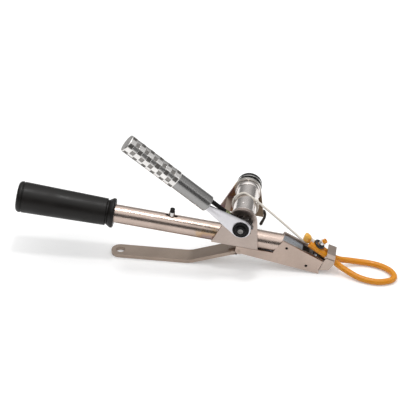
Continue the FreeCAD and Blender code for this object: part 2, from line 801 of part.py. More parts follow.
def make_head_plug():
    bore_radius = size.tube_radius - size.tube_wall - size.pin_fit
    tongue_half = size.head_half_width - size.head_wall - size.seat_gap
    body = revolve("head_plug", tube_frame(),
                   [(size.plug_rear, as_size(0)), (size.plug_front, as_size(0)), (size.plug_front, bore_radius),
                    (size.plug_rear, bore_radius)], "X")
    low = -size.tube_radius
    high = size.tube_radius
    under = [(size.plug_tongue_start, low), (size.plug_front, low), (size.plug_front, -size.plug_tongue_drop),
             (size.plug_tongue_start, -size.plug_tongue_drop)]
    over = [(size.plug_tongue_start, size.plug_tongue_rise), (size.head_peak, size.plug_tongue_rise),
            (size.plug_front, -size.plug_tongue_dip), (size.plug_front, high), (size.plug_tongue_start, high)]
    pocket(body, [under, over], low, high)
    whole = [(size.plug_tongue_start, low), (size.plug_front, low), (size.plug_front, high),
             (size.plug_tongue_start, high)]
    pocket(body, [whole], low, -tongue_half)
    pocket(body, [whole], tongue_half, high)
    pocket(body, [Round(size.head_pin_reach, size.head_pin_rise, size.cross_pin_radius)], low, high)


def make_pin(label, frame, x, z, radius, near, far):
    body = new_body(label, frame)
    disc(body, x, z, radius, near, far)
    return body


def make_head_pins():
    # Each cross pin ends a little inside its hole, as the dark holes show
    sink = size.head_wall / 2
    half = size.head_half_width
    make_pin("head_pin", tube_frame(), size.head_pin_reach, size.head_pin_rise, size.cross_pin_radius,
             -half + sink, half - sink)
    # The front pins are two short ones, because the push bar slides between them
    pin_inner = half - size.head_wall - size.seat_gap - size.block_cheek
    for label, near, far in (
        ("block_pin_near", -half + sink, -pin_inner),
        ("block_pin_far", pin_inner, half - sink),
    ):
        make_pin(label, tube_frame(), block_pin_x(), -size.block_pin_drop, size.cross_pin_radius, near, far)
    make_pin("lever_pivot_pin", tube_frame(), size.pivot_reach, -size.pivot_drop, size.pivot_pin_radius, -half, half)


def make_front_block():
    half = size.head_half_width
    inner = half - size.head_wall - size.seat_gap
    heel = (size.head_toe - size.block_heel_gap, -size.block_heel_drop)
    toe = (band_x() + size.block_toe_ahead, -size.block_toe_drop)
    chest = (band_x() + size.block_chest_ahead, -size.block_chest_drop)
    lip = (band_x() + size.block_lip_ahead, -size.block_lip_drop)
    crest = (band_x() - size.block_crest_behind, -size.block_crest_drop)
    throat = (band_x() - size.block_throat_behind, -size.block_throat_drop)
    body = prism("front_block", tube_frame(), [heel, toe, chest, lip, crest, throat], -half, half)
    # The bridge closes the window over both strands
    bridge = [
        (crest[0], crest[1] - size.bridge_root), (lip[0], lip[1] - size.bridge_root),
        (band_x() + size.bridge_front_ahead, size.bridge_front_rise),
        (band_x() - size.bridge_rear_behind, size.bridge_rear_rise),
    ]
    pad(body, [bridge], -half + size.bridge_step, half)
    cheek_rear = size.head_toe - size.block_cheek_behind
    cheek_low = channel_floor(cheek_rear) + size.ram_lift
    cheek = [(cheek_rear, cheek_low), (size.head_toe + size.block_cheek_lap, cheek_low), throat,
             (cheek_rear, -size.block_cheek_drop)]
    pad(body, [cheek], inner - size.block_cheek, inner)
    pad(body, [cheek], -inner, -inner + size.block_cheek)
    pocket(body, [Round(block_pin_x(), -size.block_pin_drop, size.cross_pin_radius)], -half, half)
    window = document.addObject("Part::Box", "BandWindow")
    bind(window, "Length", size.head_half_width * 4)
    bind(window, "Width", size.window_half_width * 2)
    bind(window, "Height", size.window_half_height * 2)
    corner = vector(-size.head_half_width * 2, -size.window_half_width, -size.window_half_height)
    in_band = FreeCAD.Placement(vector(band_x(), 0, -size.band_drop), turned(ALONG_Y, size.band_angle))
    window.Placement = in_band.multiply(FreeCAD.Placement(corner, FreeCAD.Rotation()))
    body.Label = "FrontBlockBody"
    body.Placement = FreeCAD.Placement()
    cut = document.addObject("Part::Cut", "front_block_cut")
    cut.Label = "front_block"
    cut.Base = body
    cut.Tool = window
    cut.Placement = tube_frame()
    document.recompute()


# Latex band with its clip, ring and tail
def make_crimp_clip():
    rear = -size.clip_back - size.clip_length / 2
    front = -size.clip_back + size.clip_length / 2
    outer = size.band_radius + size.seat_gap * 2 + size.clip_wall
    outside = [Round(-size.strand_offset, 0, outer), Round(size.strand_offset, 0, outer)]
    body = prism("crimp_clip", band_frame(), outside, rear, front, "YZ_Plane")
    bore = outer - size.clip_wall
    inside = [Round(-size.strand_offset, 0, bore), Round(size.strand_offset, 0, bore)]
    pocket(body, [inside], rear, front, "YZ_Plane")


def floor_point(x, y, height):
    """A point given over the floor, in the tube frame."""
    return tube_frame().inverse().multVec(vector(x, y, height))


def strand_point(forward, side):
    """A point of a strand's centre line inside the head."""
    x = band_x() + forward * cosine(size.band_angle)
    return vector(x, side, -size.band_drop - forward * sine(size.band_angle))


def make_latex_band():
    # Half of the loop: the bend in front of the block, the touch-down and the round end
    lift = size.band_radius + size.seat_gap
    leave = strand_point(size.strand_lead, size.strand_offset)
    touch = floor_point(size.loop_touch, size.loop_touch_half, lift)
    end = floor_point(size.loop_end, size.loop_end_half, lift)
    near_side = [FreeCAD.Vector(point.x, -point.y, point.z) for point in (end, touch, leave)]
    points = [strand_point(-size.strand_far_back, size.strand_offset), leave, touch, end]
    points += near_side + [strand_point(-size.strand_near_back, -size.strand_offset)]
    bends = [size.strand_bend.number, size.touch_bend.number, size.loop_bend.number]
    path = rounded_path(points, bends + bends[::-1])
    keep_shape("latex_band", tube_frame(), round_sweep(path, size.band_radius.number))


def make_band_trim():
    knob = document.addObject("Part::Sphere", "band_knob")
    knob.Label = "band_knob"
    bind(knob, "Radius", size.knob_radius)
    back = size.strand_far_back + size.knob_radius + size.seat_gap
    knob.Placement = tube_frame().multiply(FreeCAD.Placement(strand_point(-back, size.strand_offset),
                                                             FreeCAD.Rotation()))
    half_ring = size.ring_thickness / 2
    ring = document.addObject("Part::Torus", "band_ring")
    ring.Label = "band_ring"
    bind(ring, "Radius1", size.ring_radius)
    bind(ring, "Radius2", half_ring)
    ring_place = vector(-size.ring_back, 0, size.band_radius + half_ring + size.seat_gap)
    ring.Placement = band_frame().multiply(FreeCAD.Placement(ring_place, FreeCAD.Rotation()))
    tail = document.addObject("Part::Cylinder", "band_tail")
    tail.Label = "band_tail"
    bind(tail, "Radius", size.tail_radius)
    bind(tail, "Height", size.tail_length)
    rise = size.band_radius + size.tail_radius * sine(size.tail_lean) + size.seat_gap
    tail.Placement = band_frame().multiply(
        FreeCAD.Placement(vector(-size.ring_back, 0, rise), turned(ALONG_Y, size.tail_lean)))
    document.recompute()


# Draw cord: round the drum, then taut to the tied end of the latex
CORD_ROUTE = [
    (14.8, 24.6, 45.1),
    (18.7, 25.2, 31.3),
    (11.6, 25.7, 18.7),
    (-2.2, 26.2, 14.8),
    (-14.8, 26.8, 21.9),
    (-18.7, 27.3, 35.7),
    (-11.6, 27.8, 48.3),
    (2.2, 28.4, 52.2),
    (88.0, 4.6, 4.2),
]


def make_draw_cord():
    points = [FreeCAD.Vector(*point) for point in CORD_ROUTE]
    radii = []
    for before, corner, after in zip(points, points[1:], points[2:]):
        back = before - corner
        ahead = after - corner
        turn = math.pi - back.getAngle(ahead)
        radii.append(0.45 * min(back.Length, ahead.Length) / math.tan(turn / 2))
    print("cord radii", [round(radius, 1) for radius in radii])
    keep_shape("draw_cord", tube_frame(), round_sweep(rounded_path(points, radii), size.cord_radius.number))


# Spool and its ratchets. Places run along the spool axis, from the near side to the far side.
def wheel_far():
    return near_plate_outside() - size.seat_gap - size.spacer_width


def wheel_near():
    return wheel_far() - size.wheel_width


def arm_far():
    return wheel_near() - size.swing_gap


def arm_near():
    return arm_far() - size.arm_thickness


def make_spool_core():
    bore = size.shaft_radius
    shaft_near = arm_near()
    drum_near = near_plate_face() + size.swing_gap * 2
    drum_far = size.far_plate_reach - size.swing_gap
    flange_far = drum_near + size.drum_flange_width
    hold_near = far_plate_outside() + size.seat_gap + size.outer_spacer_width
    hold_far = hold_near + size.hold_wheel_width
    washer_far = hold_far + size.spool_washer_width
    cap_far = washer_far + size.cap_width
    shaft_far = washer_far + size.cap_width / 2
    screw_depth = size.shaft_radius * 3
    screw = size.bolt_shank_radius + size.pin_fit
    revolve("spool_shaft", spool_frame(), [
        (shaft_near, screw), (shaft_near + screw_depth, screw), (shaft_near + screw_depth, as_size(0)),
        (shaft_far, as_size(0)), (shaft_far, size.shaft_radius), (shaft_near, size.shaft_radius)], "Y")
    drum = revolve("spool_drum", spool_frame(), [
        (drum_near, bore), (drum_far, bore), (drum_far, size.drum_radius), (flange_far, size.drum_radius),
        (flange_far, size.drum_flange_radius), (drum_near, size.drum_flange_radius)], "Y")
    anchor = Round(-size.anchor_behind, size.anchor_reach, size.anchor_radius)
    pocket(drum, [anchor], size.drum_radius - size.anchor_radius * 4, size.drum_radius, "XY_Plane")
    revolve("wheel_spacer", spool_frame(),
            ring_profile(wheel_far(), wheel_far() + size.spacer_width, bore, size.spacer_radius), "Y")
    revolve("outer_spacer", spool_frame(),
            ring_profile(far_plate_outside() + size.seat_gap, hold_near, bore, size.spacer_radius), "Y")
    revolve("spool_washer", spool_frame(), ring_profile(hold_far, washer_far, bore, size.hold_wheel_radius), "Y")
    cap = revolve("spool_cap", spool_frame(), [
        (washer_far, bore), (shaft_far + size.seat_gap, bore), (shaft_far + size.seat_gap, as_size(0)),
        (cap_far, as_size(0)), (cap_far, size.hold_wheel_radius), (washer_far, size.hold_wheel_radius)], "Y")
    round_rims(cap, [(cap_far, size.hold_wheel_radius)], size.cap_round)


def saw_gap(root, tip, teeth, lead=0):
    """The gap between two saw teeth: a radial drive face and a ramp up to the next tip."""
    step = as_size(360) / teeth
    start = as_size(lead)
    beyond = tip * 1.1
    return [
        (-root * cosine(start), root * sine(start)),
        (-beyond * cosine(start), beyond * sine(start)),
        (-beyond * cosine(start + step), beyond * sine(start + step)),
        (-tip * cosine(start + step), tip * sine(start + step)),
    ]


def make_wheel(label, near, far, root, tip, teeth, lead):
    body = new_body(label, lever_frame())
    disc(body, 0, 0, tip, near, far)
    gap = pocket(body, [saw_gap(root, tip, teeth, lead)], near, far)
    pattern_round(body, gap, teeth)
    pocket(body, [Round(0, 0, size.shaft_radius)], near, far)


def make_ratchets():
    # The first drive face lies just under the pawl's lower side
    make_wheel("ratchet_wheel", wheel_near(), wheel_far(), size.wheel_root_radius, size.wheel_radius,
               size.wheel_teeth, -0.5)
    hold_near = far_plate_outside() + size.seat_gap + size.outer_spacer_width
    make_wheel("hold_ratchet", hold_near, hold_near + size.hold_wheel_width,
               size.hold_wheel_radius - size.hold_wheel_depth, size.hold_wheel_radius, size.hold_wheel_teeth, 0)


def make_pivot_bolt():
    washer_far = arm_near() - size.seat_gap
    washer_near = washer_far - size.pivot_washer_width
    washer_bore = size.bolt_shank_radius + size.pin_fit
    washer = revolve("pivot_washer", spool_frame(),
                     ring_profile(washer_near, washer_far, washer_bore, size.pivot_washer_radius), "Y")
    round_rims(washer, [(washer_near, size.pivot_washer_radius)], size.pivot_washer_width / 4)
    head_near = washer_near - size.bolt_head_height
    shank_far = arm_near() + size.shaft_radius * 2.5
    bolt = revolve("pivot_bolt", spool_frame(), [
        (head_near, as_size(0)), (shank_far, as_size(0)), (shank_far, size.bolt_shank_radius),
        (washer_near, size.bolt_shank_radius), (washer_near, size.bolt_head_radius),
        (head_near, size.bolt_head_radius)], "Y")
    round_rims(bolt, [(head_near, size.bolt_head_radius)], size.bolt_head_height / 3)
    across = size.bolt_socket / cosine(as_size(30)) / 2
    hexagon = [(across * cosine(as_size(60 * side)), across * sine(as_size(60 * side))) for side in range(6)]
    pocket(bolt, [hexagon], head_near, head_near + size.bolt_head_height * 0.8)


# Ratchet lever. Places along the lever are -X of its frame.
def make_ratchet_lever():
    arm_outline = [
        Round(0, 0, size.arm_head_radius),
        Round(-size.arm_neck_length, size.arm_neck_half),
        Round(-size.arm_length, size.arm_neck_half),
        Round(-size.arm_length, -size.arm_neck_half),
        Round(-size.arm_neck_length, -size.arm_neck_half),
    ]
    arm = prism("ratchet_arm", lever_frame(), arm_outline, arm_near(), arm_far())
    pocket(arm, [Round(0, 0, size.shaft_radius + size.pin_fit)], arm_near(), arm_far())

    handle_frame = lever_frame().multiply(FreeCAD.Placement(vector(0, -size.sleeve_axis, 0), FreeCAD.Rotation()))
    sleeve = revolve("handle_sleeve", handle_frame, [
        (-size.sleeve_end, as_size(0)), (-size.sleeve_start, as_size(0)), (-size.sleeve_start, size.sleeve_radius),
        (-size.sleeve_end, size.sleeve_radius)], "X")
    round_rims(sleeve, [(-size.sleeve_start, size.sleeve_radius)], size.sleeve_radius / 5)
    tongue_half = size.arm_neck_half + size.seat_gap
    tongue_end = -size.arm_length - size.seat_gap
    slot = [(tongue_end, -tongue_half), (as_size(0), -tongue_half), (as_size(0), tongue_half), (tongue_end, tongue_half)]
    pocket(sleeve, [slot], arm_near() + size.sleeve_axis - size.seat_gap,
           arm_far() + size.sleeve_axis + size.seat_gap)
    bore = Round(size.sleeve_axis - size.plunger_axis, size.plunger_offset, size.plunger_radius + size.pin_fit)
    bore_end = -size.plunger_end - size.plunger_travel - size.seat_gap
    pocket(sleeve, [bore], bore_end, 0, "YZ_Plane")
    make_knurled_grip(handle_frame)


def make_knurled_grip(handle_frame):
    start = size.sleeve_end.number
    end = size.handle_end.number
    front = size.handle_front_radius.number
    rear = size.handle_end_radius.number
    grip = Part.makeCone(front, rear, end - start, FreeCAD.Vector(-start, 0, 0), -ALONG_X)
    rims = [edge for edge in grip.Edges if isinstance(edge.Curve, Part.Circle)]
    grip = grip.makeFillet(front / 8, rims)
    side = size.recess_side.number
    slope = (rear - front) / (end - start)
    margin = (end - start - (size.recess_rings.number - 1) * size.recess_pitch.number) / 2
    around = int(size.recesses_round.number)
    recesses = []
    for ring in range(int(size.recess_rings.number)):
        along = margin + ring * size.recess_pitch.number
        floor_radius = front + slope * along - size.recess_depth.number
        for place in range(around):
            recess = Part.makeBox(side, side, front, FreeCAD.Vector(-start - along - side / 2, -side / 2, floor_radius))
            turn = 360.0 / around * (place + ring % 2 / 2)
            recess.rotate(FreeCAD.Vector(0, 0, 0), ALONG_X, turn)
            recesses.append(recess)
    keep_shape("knurled_grip", handle_frame, grip.cut(Part.makeCompound(recesses)))


def make_plunger():
    """The pawl's tip is cut along the ramp of the tooth gap that it lies in."""
    frame = lever_frame().multiply(
        FreeCAD.Placement(vector(0, -size.plunger_axis, size.plunger_offset), FreeCAD.Rotation()))
    tip_low = size.wheel_root_radius + size.swing_gap
    body = revolve("pawl_plunger", frame, [
        (-size.plunger_end, as_size(0)), (-tip_low, as_size(0)), (-tip_low, size.plunger_radius),
        (-size.plunger_end, size.plunger_radius)], "X")
    step = as_size(360) / size.wheel_teeth
    ramp = (size.wheel_radius * cosine(step) - size.wheel_root_radius) / (size.wheel_radius * sine(step))
    low = -size.plunger_radius * 1.2
    high = size.plunger_radius * 1.2
    low_place = -tip_low - ramp * (low + size.plunger_offset)
    high_place = -tip_low - ramp * (high + size.plunger_offset)
    waste = [(low_place, low), (as_size(0), low), (as_size(0), high), (high_place, high)]
    pocket(body, [waste], low, high)


# Tension indicator in the slot of the tube
def make_indicator():
    frame = frame_in_tube(-size.slot_behind, 0, 0)
    seat = size.tube_radius + size.swing_gap
    pin_top = seat + size.indicator_height
    slider_radius = size.tube_radius - size.tube_wall - size.swing_gap
    half = size.slider_length / 2
    slider = revolve("indicator_slider", frame, [
        (-half, as_size(0)), (half, as_size(0)), (half, slider_radius), (-half, slider_radius)], "X")
    pocket(slider, [Round(0, 0, size.indicator_shank)], slider_radius * 0.5, slider_radius, "XY_Plane")
    pin = new_body("indicator_pin", frame)
    disc(pin, 0, 0, size.indicator_shank, slider_radius * 0.5, seat, "XY_Plane")
    disc(pin, 0, 0, size.indicator_radius, seat, pin_top, "XY_Plane")
    cap = new_body("indicator_cap", frame)
    disc(cap, 0, 0, size.indicator_cap_radius, pin_top, pin_top + size.indicator_cap_height, "XY_Plane")


# Squeeze lever
def make_squeeze_lever():
    thick = size.bar_thickness
    half = size.bar_width / 2
    riser_x = size.axis_reach - size.riser_behind
    rise_run = riser_x - size.bar_length
    rise = size.axis_height - size.riser_drop - thick / 2
    outline = [
        (-half, as_size(0)), (size.bar_length, as_size(0)),
        (riser_x, rise), (riser_x - thick * rise / rise_run, rise + thick),
        (size.bar_length - thick * rise / rise_run / 2, thick), (-half, thick),
    ]
    body = prism("squeeze_lever", FLOOR_FRAME, outline, -half, half)
    round_corners(body, [(size.bar_length, 0)], size.bar_bend_radius + thick)
    round_corners(body, [(size.bar_length - thick * rise / rise_run / 2, thick)], size.bar_bend_radius)
    # The round end of the bar is what a disc leaves of its square end
    end = -half * 1.2
    waste = [(end, -half), (as_size(0), -half), (as_size(0), half), (end, half)]
    round_end(body, waste, half, thick)
    pocket(body, [Round(0, 0, size.hang_hole_radius)], 0, thick, "XY_Plane")
    # The tail of the cam arm is let into a slot at the riser's end
    tail_x = size.axis_reach - size.cam_tail_behind * cosine(size.pitch_angle)
    tail_x = tail_x - size.cam_tail_drop * sine(size.pitch_angle)
    slot_end = tail_x - size.cam_tip_radius - size.seat_gap
    slot_half = size.cam_half_width + size.seat_gap
    slot = [(slot_end, as_size(0)), (size.axis_reach, as_size(0)), (size.axis_reach, size.axis_height),
            (slot_end, size.axis_height)]
    pocket(body, [slot], -slot_half, slot_half)


def round_end(body, waste, radius, thick):
    """Takes off the square end of the bar and puts a disc back."""
    pocket(body, [waste], 0, thick, "XY_Plane")
    disc(body, 0, 0, radius, 0, thick, "XY_Plane")


def make_cam():
    half = size.cam_half_width
    slot_half = size.roller_width / 2 + size.seat_gap
    outline = [
        Round(-size.cam_tail_behind, -size.cam_tail_drop, size.cam_tip_radius),
        Round(size.roller_reach, -size.roller_drop, size.cam_tip_radius),
        Round(size.pivot_reach, -size.pivot_drop, size.cam_hub_radius),
    ]
    body = prism("lever_cam", tube_frame(), outline, -half, half)
    pocket(body, [Round(size.pivot_reach, -size.pivot_drop, size.pivot_pin_radius + size.pin_fit)], -half, half)
    pocket(body, [Round(size.roller_reach, -size.roller_drop, size.roller_pin_radius)], -half, half)
    slot = size.roller_radius + size.swing_gap
    low = -size.roller_drop - slot
    high = -size.roller_drop + slot
    room = [(size.roller_reach - slot, low), (size.roller_reach + slot, low),
            (size.roller_reach + slot, high), (size.roller_reach - slot, high)]
    pocket(body, [room], -slot_half, slot_half)
    place = frame_in_tube(size.roller_reach, 0, -size.roller_drop)
    roller_half = size.roller_width / 2
    revolve("cam_roller", place, ring_profile(-roller_half, roller_half, size.roller_pin_radius,
                                              size.roller_radius), "Y")
    make_pin("roller_pin", place, 0, 0, size.roller_pin_radius, -half, half)


# Push bar with the crimp die and the cutter blade
def bar_low(x):
    return channel_floor(x) + size.ram_lift


def bar_top(x):
    return bar_low(x) + size.ram_height


def make_ram():
    half = size.cam_half_width
    # The heel touches the roller's lower front but for the clearance
    reach = size.roller_radius + size.swing_gap
    heel_x = size.roller_reach + reach * sine(size.ram_heel_angle)
    heel_z = -size.roller_drop - reach * cosine(size.ram_heel_angle)
    slope = tangent(size.ram_heel_angle)
    low_x = heel_x - (heel_z - bar_low(heel_x)) / slope
    high_x = heel_x + (bar_top(heel_x) - heel_z) / slope
    die_rear = size.head_toe - size.die_rear_behind
    die_front = size.head_toe - size.die_front_behind
    bar = [(low_x, bar_low(low_x)), (die_front, bar_low(die_front)), (die_front, bar_top(die_front)),
           (high_x, bar_top(high_x))]
    prism("push_bar", tube_frame(), bar, -half, half)
    die = [(die_rear, bar_top(die_rear)), (die_front, bar_top(die_front)), (die_front, -size.die_top_drop),
           (die_rear, -size.die_top_drop)]
    prism("crimp_die", tube_frame(), die, -half, half)
    blade_rear = size.head_toe - size.blade_behind
    blade = [(blade_rear, -size.die_top_drop), (blade_rear + size.blade_thickness, -size.die_top_drop),
             (blade_rear, -size.blade_edge_drop)]
    prism("cutter_blade", tube_frame(), blade, -half, half)


# Hold pawl outside the far plate
def make_hold_pawl():
    near = far_plate_outside() + size.seat_gap + size.outer_spacer_width + size.seat_gap
    far = near + size.hold_pawl_width
    x = -size.hold_pawl_behind
    z = size.hold_pawl_rise
    nose_z = size.spool_height - size.hold_wheel_radius - size.swing_gap - size.pawl_nose_radius
    outline = [
        Round(x, z, size.hold_pawl_hub),
        Round(size.pawl_tail_reach, -size.pawl_tail_drop, size.pawl_tail_radius),
        Round(size.pawl_throat_reach, size.pawl_throat_rise, size.pawl_throat_radius, inward=True),
        Round(-size.pawl_nose_behind, nose_z, size.pawl_nose_radius),
    ]
    pawl = prism("hold_pawl", tube_frame(), outline, near, far)
    pocket(pawl, [Round(x, z, size.hold_screw_radius + size.pin_fit)], near, far)
    pocket(pawl, [Round(size.pawl_tail_reach, -size.pawl_tail_drop, size.hook_wire_radius)], near, far)
    screw = revolve("hold_pawl_screw", frame_in_tube(x, 0, z), [
        (size.far_plate_reach, as_size(0)), (far + size.seat_gap + size.hold_screw_head_height, as_size(0)),
        (far + size.seat_gap + size.hold_screw_head_height, size.hold_screw_head),
        (far + size.seat_gap, size.hold_screw_head), (far + size.seat_gap, size.hold_screw_radius),
        (near - size.seat_gap, size.hold_screw_radius), (near - size.seat_gap, size.hold_pawl_hub),
        (far_plate_outside(), size.hold_pawl_hub), (far_plate_outside(), size.hold_screw_radius),
        (size.far_plate_reach, size.hold_screw_radius)], "Y")
    rim = (far + size.seat_gap + size.hold_screw_head_height, size.hold_screw_head)
    round_rims(screw, [rim], size.hold_screw_head_height / 3)
    make_pawl_hook(near, far)


def make_pawl_hook(near, far):
    """A bent wire that starts in the tail's hole and hangs down as a finger hook."""
    across = far.number + size.hook_wire_radius.number + size.seat_gap.number
    tail_x = size.pawl_tail_reach.number
    tail_z = -size.pawl_tail_drop.number
    radius = size.hook_wire_radius.number
    drop = size.pawl_hook_drop.number
    points = [
        FreeCAD.Vector(tail_x, near.number, tail_z),
        FreeCAD.Vector(tail_x, across + radius, tail_z),
        FreeCAD.Vector(tail_x + drop / 12, across + radius, tail_z - drop / 2),
        FreeCAD.Vector(tail_x - drop / 6, across + radius, tail_z - drop),
    ]
    path = rounded_path(points, [radius * 1.2, drop / 3])
    keep_shape("pawl_hook", tube_frame(), round_sweep(path, radius))


def check_model():
    for item in document.Objects:
        if "Invalid" in item.State or "Error" in item.State:
            raise ValueError(item.Label + ": " + str(item.State))


def write_pieces():
    os.makedirs("parts", exist_ok=True)
    inner = {part for item in document.Objects if item.TypeId == "Part::Cut" for part in (item.Base, item.Tool)}
    for item in document.Objects:
        kept = item.TypeId == "PartDesign::Body" or item.TypeId.startswith("Part::")
        if not kept or item in inner:
            continue
        shape = item.Shape
        if shape.isNull() or not shape.isValid() or len(shape.Solids) != 1:
            raise ValueError(item.Label + ": not one valid solid")
        shape.exportStep("parts/" + item.Label + ".step")
        print(item.Label, round(shape.Volume))


fill_sheet()
make_main_tube()
make_hand_grip()
make_bracket()
make_head_channel()
make_head_plug()
make_head_pins()
make_front_block()
make_crimp_clip()
make_latex_band()
make_band_trim()
make_draw_cord()
make_spool_core()
make_ratchets()
make_pivot_bolt()
make_ratchet_lever()
make_plunger()
make_indicator()
make_squeeze_lever()
make_cam()
make_ram()
make_hold_pawl()
check_model()
write_pieces()
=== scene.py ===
"""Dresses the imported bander: finishes for its machined parts, and its soft and turned parts as surfaces."""
import logging
import math
from dataclasses import dataclass
from enum import Enum
from functools import cache
from typing import Any

import bpy
import numpy as np
from mathutils import Matrix, Vector


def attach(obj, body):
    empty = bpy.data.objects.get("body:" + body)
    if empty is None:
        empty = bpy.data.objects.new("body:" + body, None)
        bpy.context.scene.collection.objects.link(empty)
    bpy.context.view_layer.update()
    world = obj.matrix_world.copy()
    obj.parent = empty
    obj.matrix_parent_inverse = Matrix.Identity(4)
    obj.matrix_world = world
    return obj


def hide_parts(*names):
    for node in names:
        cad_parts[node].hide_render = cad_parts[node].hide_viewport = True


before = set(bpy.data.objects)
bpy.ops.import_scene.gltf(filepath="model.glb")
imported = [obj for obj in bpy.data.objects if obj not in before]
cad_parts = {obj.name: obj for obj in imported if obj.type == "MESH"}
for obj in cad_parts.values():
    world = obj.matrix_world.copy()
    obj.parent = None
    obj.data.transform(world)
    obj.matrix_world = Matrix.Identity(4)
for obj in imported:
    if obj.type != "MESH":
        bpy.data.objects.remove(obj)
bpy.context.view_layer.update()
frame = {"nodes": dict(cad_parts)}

log = logging.getLogger("bander")
Pair = tuple[float, float]
Triple = tuple[float, float, float]
Socket = bpy.types.NodeSocket
MM = 0.001
FULL_TURN = 2.0 * math.pi
SMOOTH_BELOW = math.radians(50.0)  # faces that meet at a smaller angle are shaded as one
BUMP_DEPTH = 0.2 * MM
EDGE_RADIUS = 0.4 * MM
LINE_STEPS = 24  # points read between two control points of a line
POINTS_APART = 1e-9  # points of a path that are nearer than this, in metres, are one
PLATE_BEVEL = 0.3  # place of the middle row of a plate's rounded edge, as a share of its rounding
PLATE_CAP = 0.8  # how far inside the rounding the last row of a plate lies, in millimetres
ALONG_X = [2, 0, 1]  # order of the coordinates that lays a turned surface's axis along X


class Body(Enum):
    """The bodies that the new pieces ride on."""

    FRAME = "frame"
    SPOOL = "spool"
    LEVER = "ratchet_lever"
    PLUNGER = "plunger"
    SQUEEZE = "squeeze"
    PAWL = "pawl"


class Slot(Enum):
    """Material slot names for the new pieces; the pieces don't use them, as each takes its finish directly.
    """

    LATEX = "latex"
    CORD = "cord_white"
    POLISHED = "polished_steel"
    SATIN = "satin_steel"
    ARM = "arm_steel"
    GRIP = "rubber_grip"
    DARK = "dark_steel"


class Ends(Enum):
    """How the rows of a surface grid end."""

    POLES = "poles"
    LOOP = "loop"


class Kind(Enum):
    """Kinds of socket on a node group, under the names that sockets give their type."""

    VALUE = "NodeSocketFloat"
    VECTOR = "NodeSocketVector"
    RGBA = "NodeSocketColor"


@dataclass(frozen=True)
class LocalFrame:
    """A working frame in millimetres, turned nose down about Y, with its origin in the row frame."""

    origin: Triple
    angle: float

    def place(self, points: Any) -> np.ndarray:
        """Points of this frame in the row frame: turned about Y by the angle, then moved by the origin.

        Args:
            points: array of points in millimetres, the last axis being X, Y, Z.

        Returns:
            The same array in metres, in the row frame.
        """
        x, y, z = np.moveaxis(np.asarray(points, dtype=float), -1, 0)
        cosine, sine = math.cos(self.angle), math.sin(self.angle)
        leaning = np.stack((cosine * x + sine * z, y, cosine * z - sine * x), axis=-1)
        return (leaning + np.array(self.origin)) * MM

    def inner(self, point: Triple, lean: float) -> "LocalFrame":
        """A frame at a point of this one, leaning further by an angle in degrees."""
        return LocalFrame(tuple(self.place(point) / MM), self.angle + math.radians(lean))


# The tube's axis, the latex strands in the channel, the ratchet arm with its grip towards -X, the spool
# standing upright in the row frame, and the row frame itself.
TUBE = LocalFrame((163.6, 0.0, 44.0), math.radians(6.5))
BAND = TUBE.inner((126.0, 0.0, -9.1), 30.0)
LEVER = LocalFrame((167.39, -32.2, 77.28), math.radians(38.0))
SPOOL = TUBE.inner((0.0, 0.0, 33.5), -6.5)
ROW = LocalFrame((0.0, 0.0, 0.0), 0.0)


# Surfaces
def surface_mesh(name: str, grid: np.ndarray, ends: Ends) -> bpy.types.Mesh:
    """A closed mesh over a grid whose columns run round a ring.

    Each cell of the grid is a face. With poles, the first and last rows are closed by a fan round their
    mean point; with a loop, the last row joins the first. The sum of the cells' signed volumes says
    which way they face, and they are turned over when it is negative.

    Args:
        name: name of the mesh.
        grid: points in metres, rows by columns by three.
        ends: how the rows end.

    Returns:
        The mesh, smooth, with a UV map "surface" of the column and the row.
    """
    rows, columns = grid.shape[:2]
    cell_rows = rows if ends is Ends.LOOP else rows - 1
    row, column = np.meshgrid(np.arange(cell_rows), np.arange(columns), indexing="ij")
    rise = np.stack((row, row, row + 1, row + 1), axis=-1).reshape(-1, 4)
    turn = np.stack((column, column + 1, column + 1, column), axis=-1).reshape(-1, 4)
    faces = (rise % rows) * columns + turn % columns
    places = np.stack((turn / columns, rise / rows), axis=-1)
    points = grid.reshape(-1, 3)
    one, two, three, four = np.moveaxis(points[faces], 1, 0)
    volume = (one * (np.cross(two, three) + np.cross(three, four))).sum()
    fan = np.empty((0, 3), dtype=int)
    fan_places = np.empty((0, 3, 2))
    if ends is Ends.POLES:
        points = np.concatenate((points, grid[[0, -1]].mean(axis=1)))
        ring = np.arange(columns)
        after = (ring + 1) % columns
        pole = np.full(columns, rows * columns)
        last = (rows - 1) * columns
        fan = np.concatenate((np.stack((after, ring, pole), axis=-1),
                              np.stack((last + ring, last + after, pole + 1), axis=-1)))
        fan_turn = np.concatenate((np.stack((ring + 1, ring, ring), axis=-1),
                                   np.stack((ring, ring + 1, ring), axis=-1)))
        fan_rise = np.repeat((0.0, 1.0), columns)[:, None] * np.ones(3)
        fan_places = np.stack((fan_turn / columns, fan_rise), axis=-1)
    if volume < 0.0:
        faces, places, fan, fan_places = (part[:, ::-1] for part in (faces, places, fan, fan_places))
    mesh = bpy.data.meshes.new(name)
    mesh.from_pydata(points.tolist(), [], faces.tolist() + fan.tolist())
    layer = mesh.uv_layers.new(name="surface")
    layer.data.foreach_set("uv", np.concatenate((places.ravel(), fan_places.ravel())))
    mesh.polygons.foreach_set("use_smooth", np.ones(len(mesh.polygons), dtype=bool))
    mesh.set_sharp_from_angle(angle=SMOOTH_BELOW)
    mesh.validate()
    return mesh


def unit(vectors: np.ndarray) -> np.ndarray:
    """Vectors divided by their lengths."""
    return vectors / np.linalg.norm(vectors, axis=-1, keepdims=True)


def length_of(line: np.ndarray) -> float:
    """The length of a line of points: the sum of its steps."""
    return float(np.linalg.norm(np.diff(line, axis=0), axis=1).sum())


def between(stations: np.ndarray, along: np.ndarray, rows: np.ndarray) -> np.ndarray:
    """Rows read at stations by linear interpolation over their places along a line."""
    return np.stack([np.interp(stations, along, column) for column in rows.T], axis=-1)


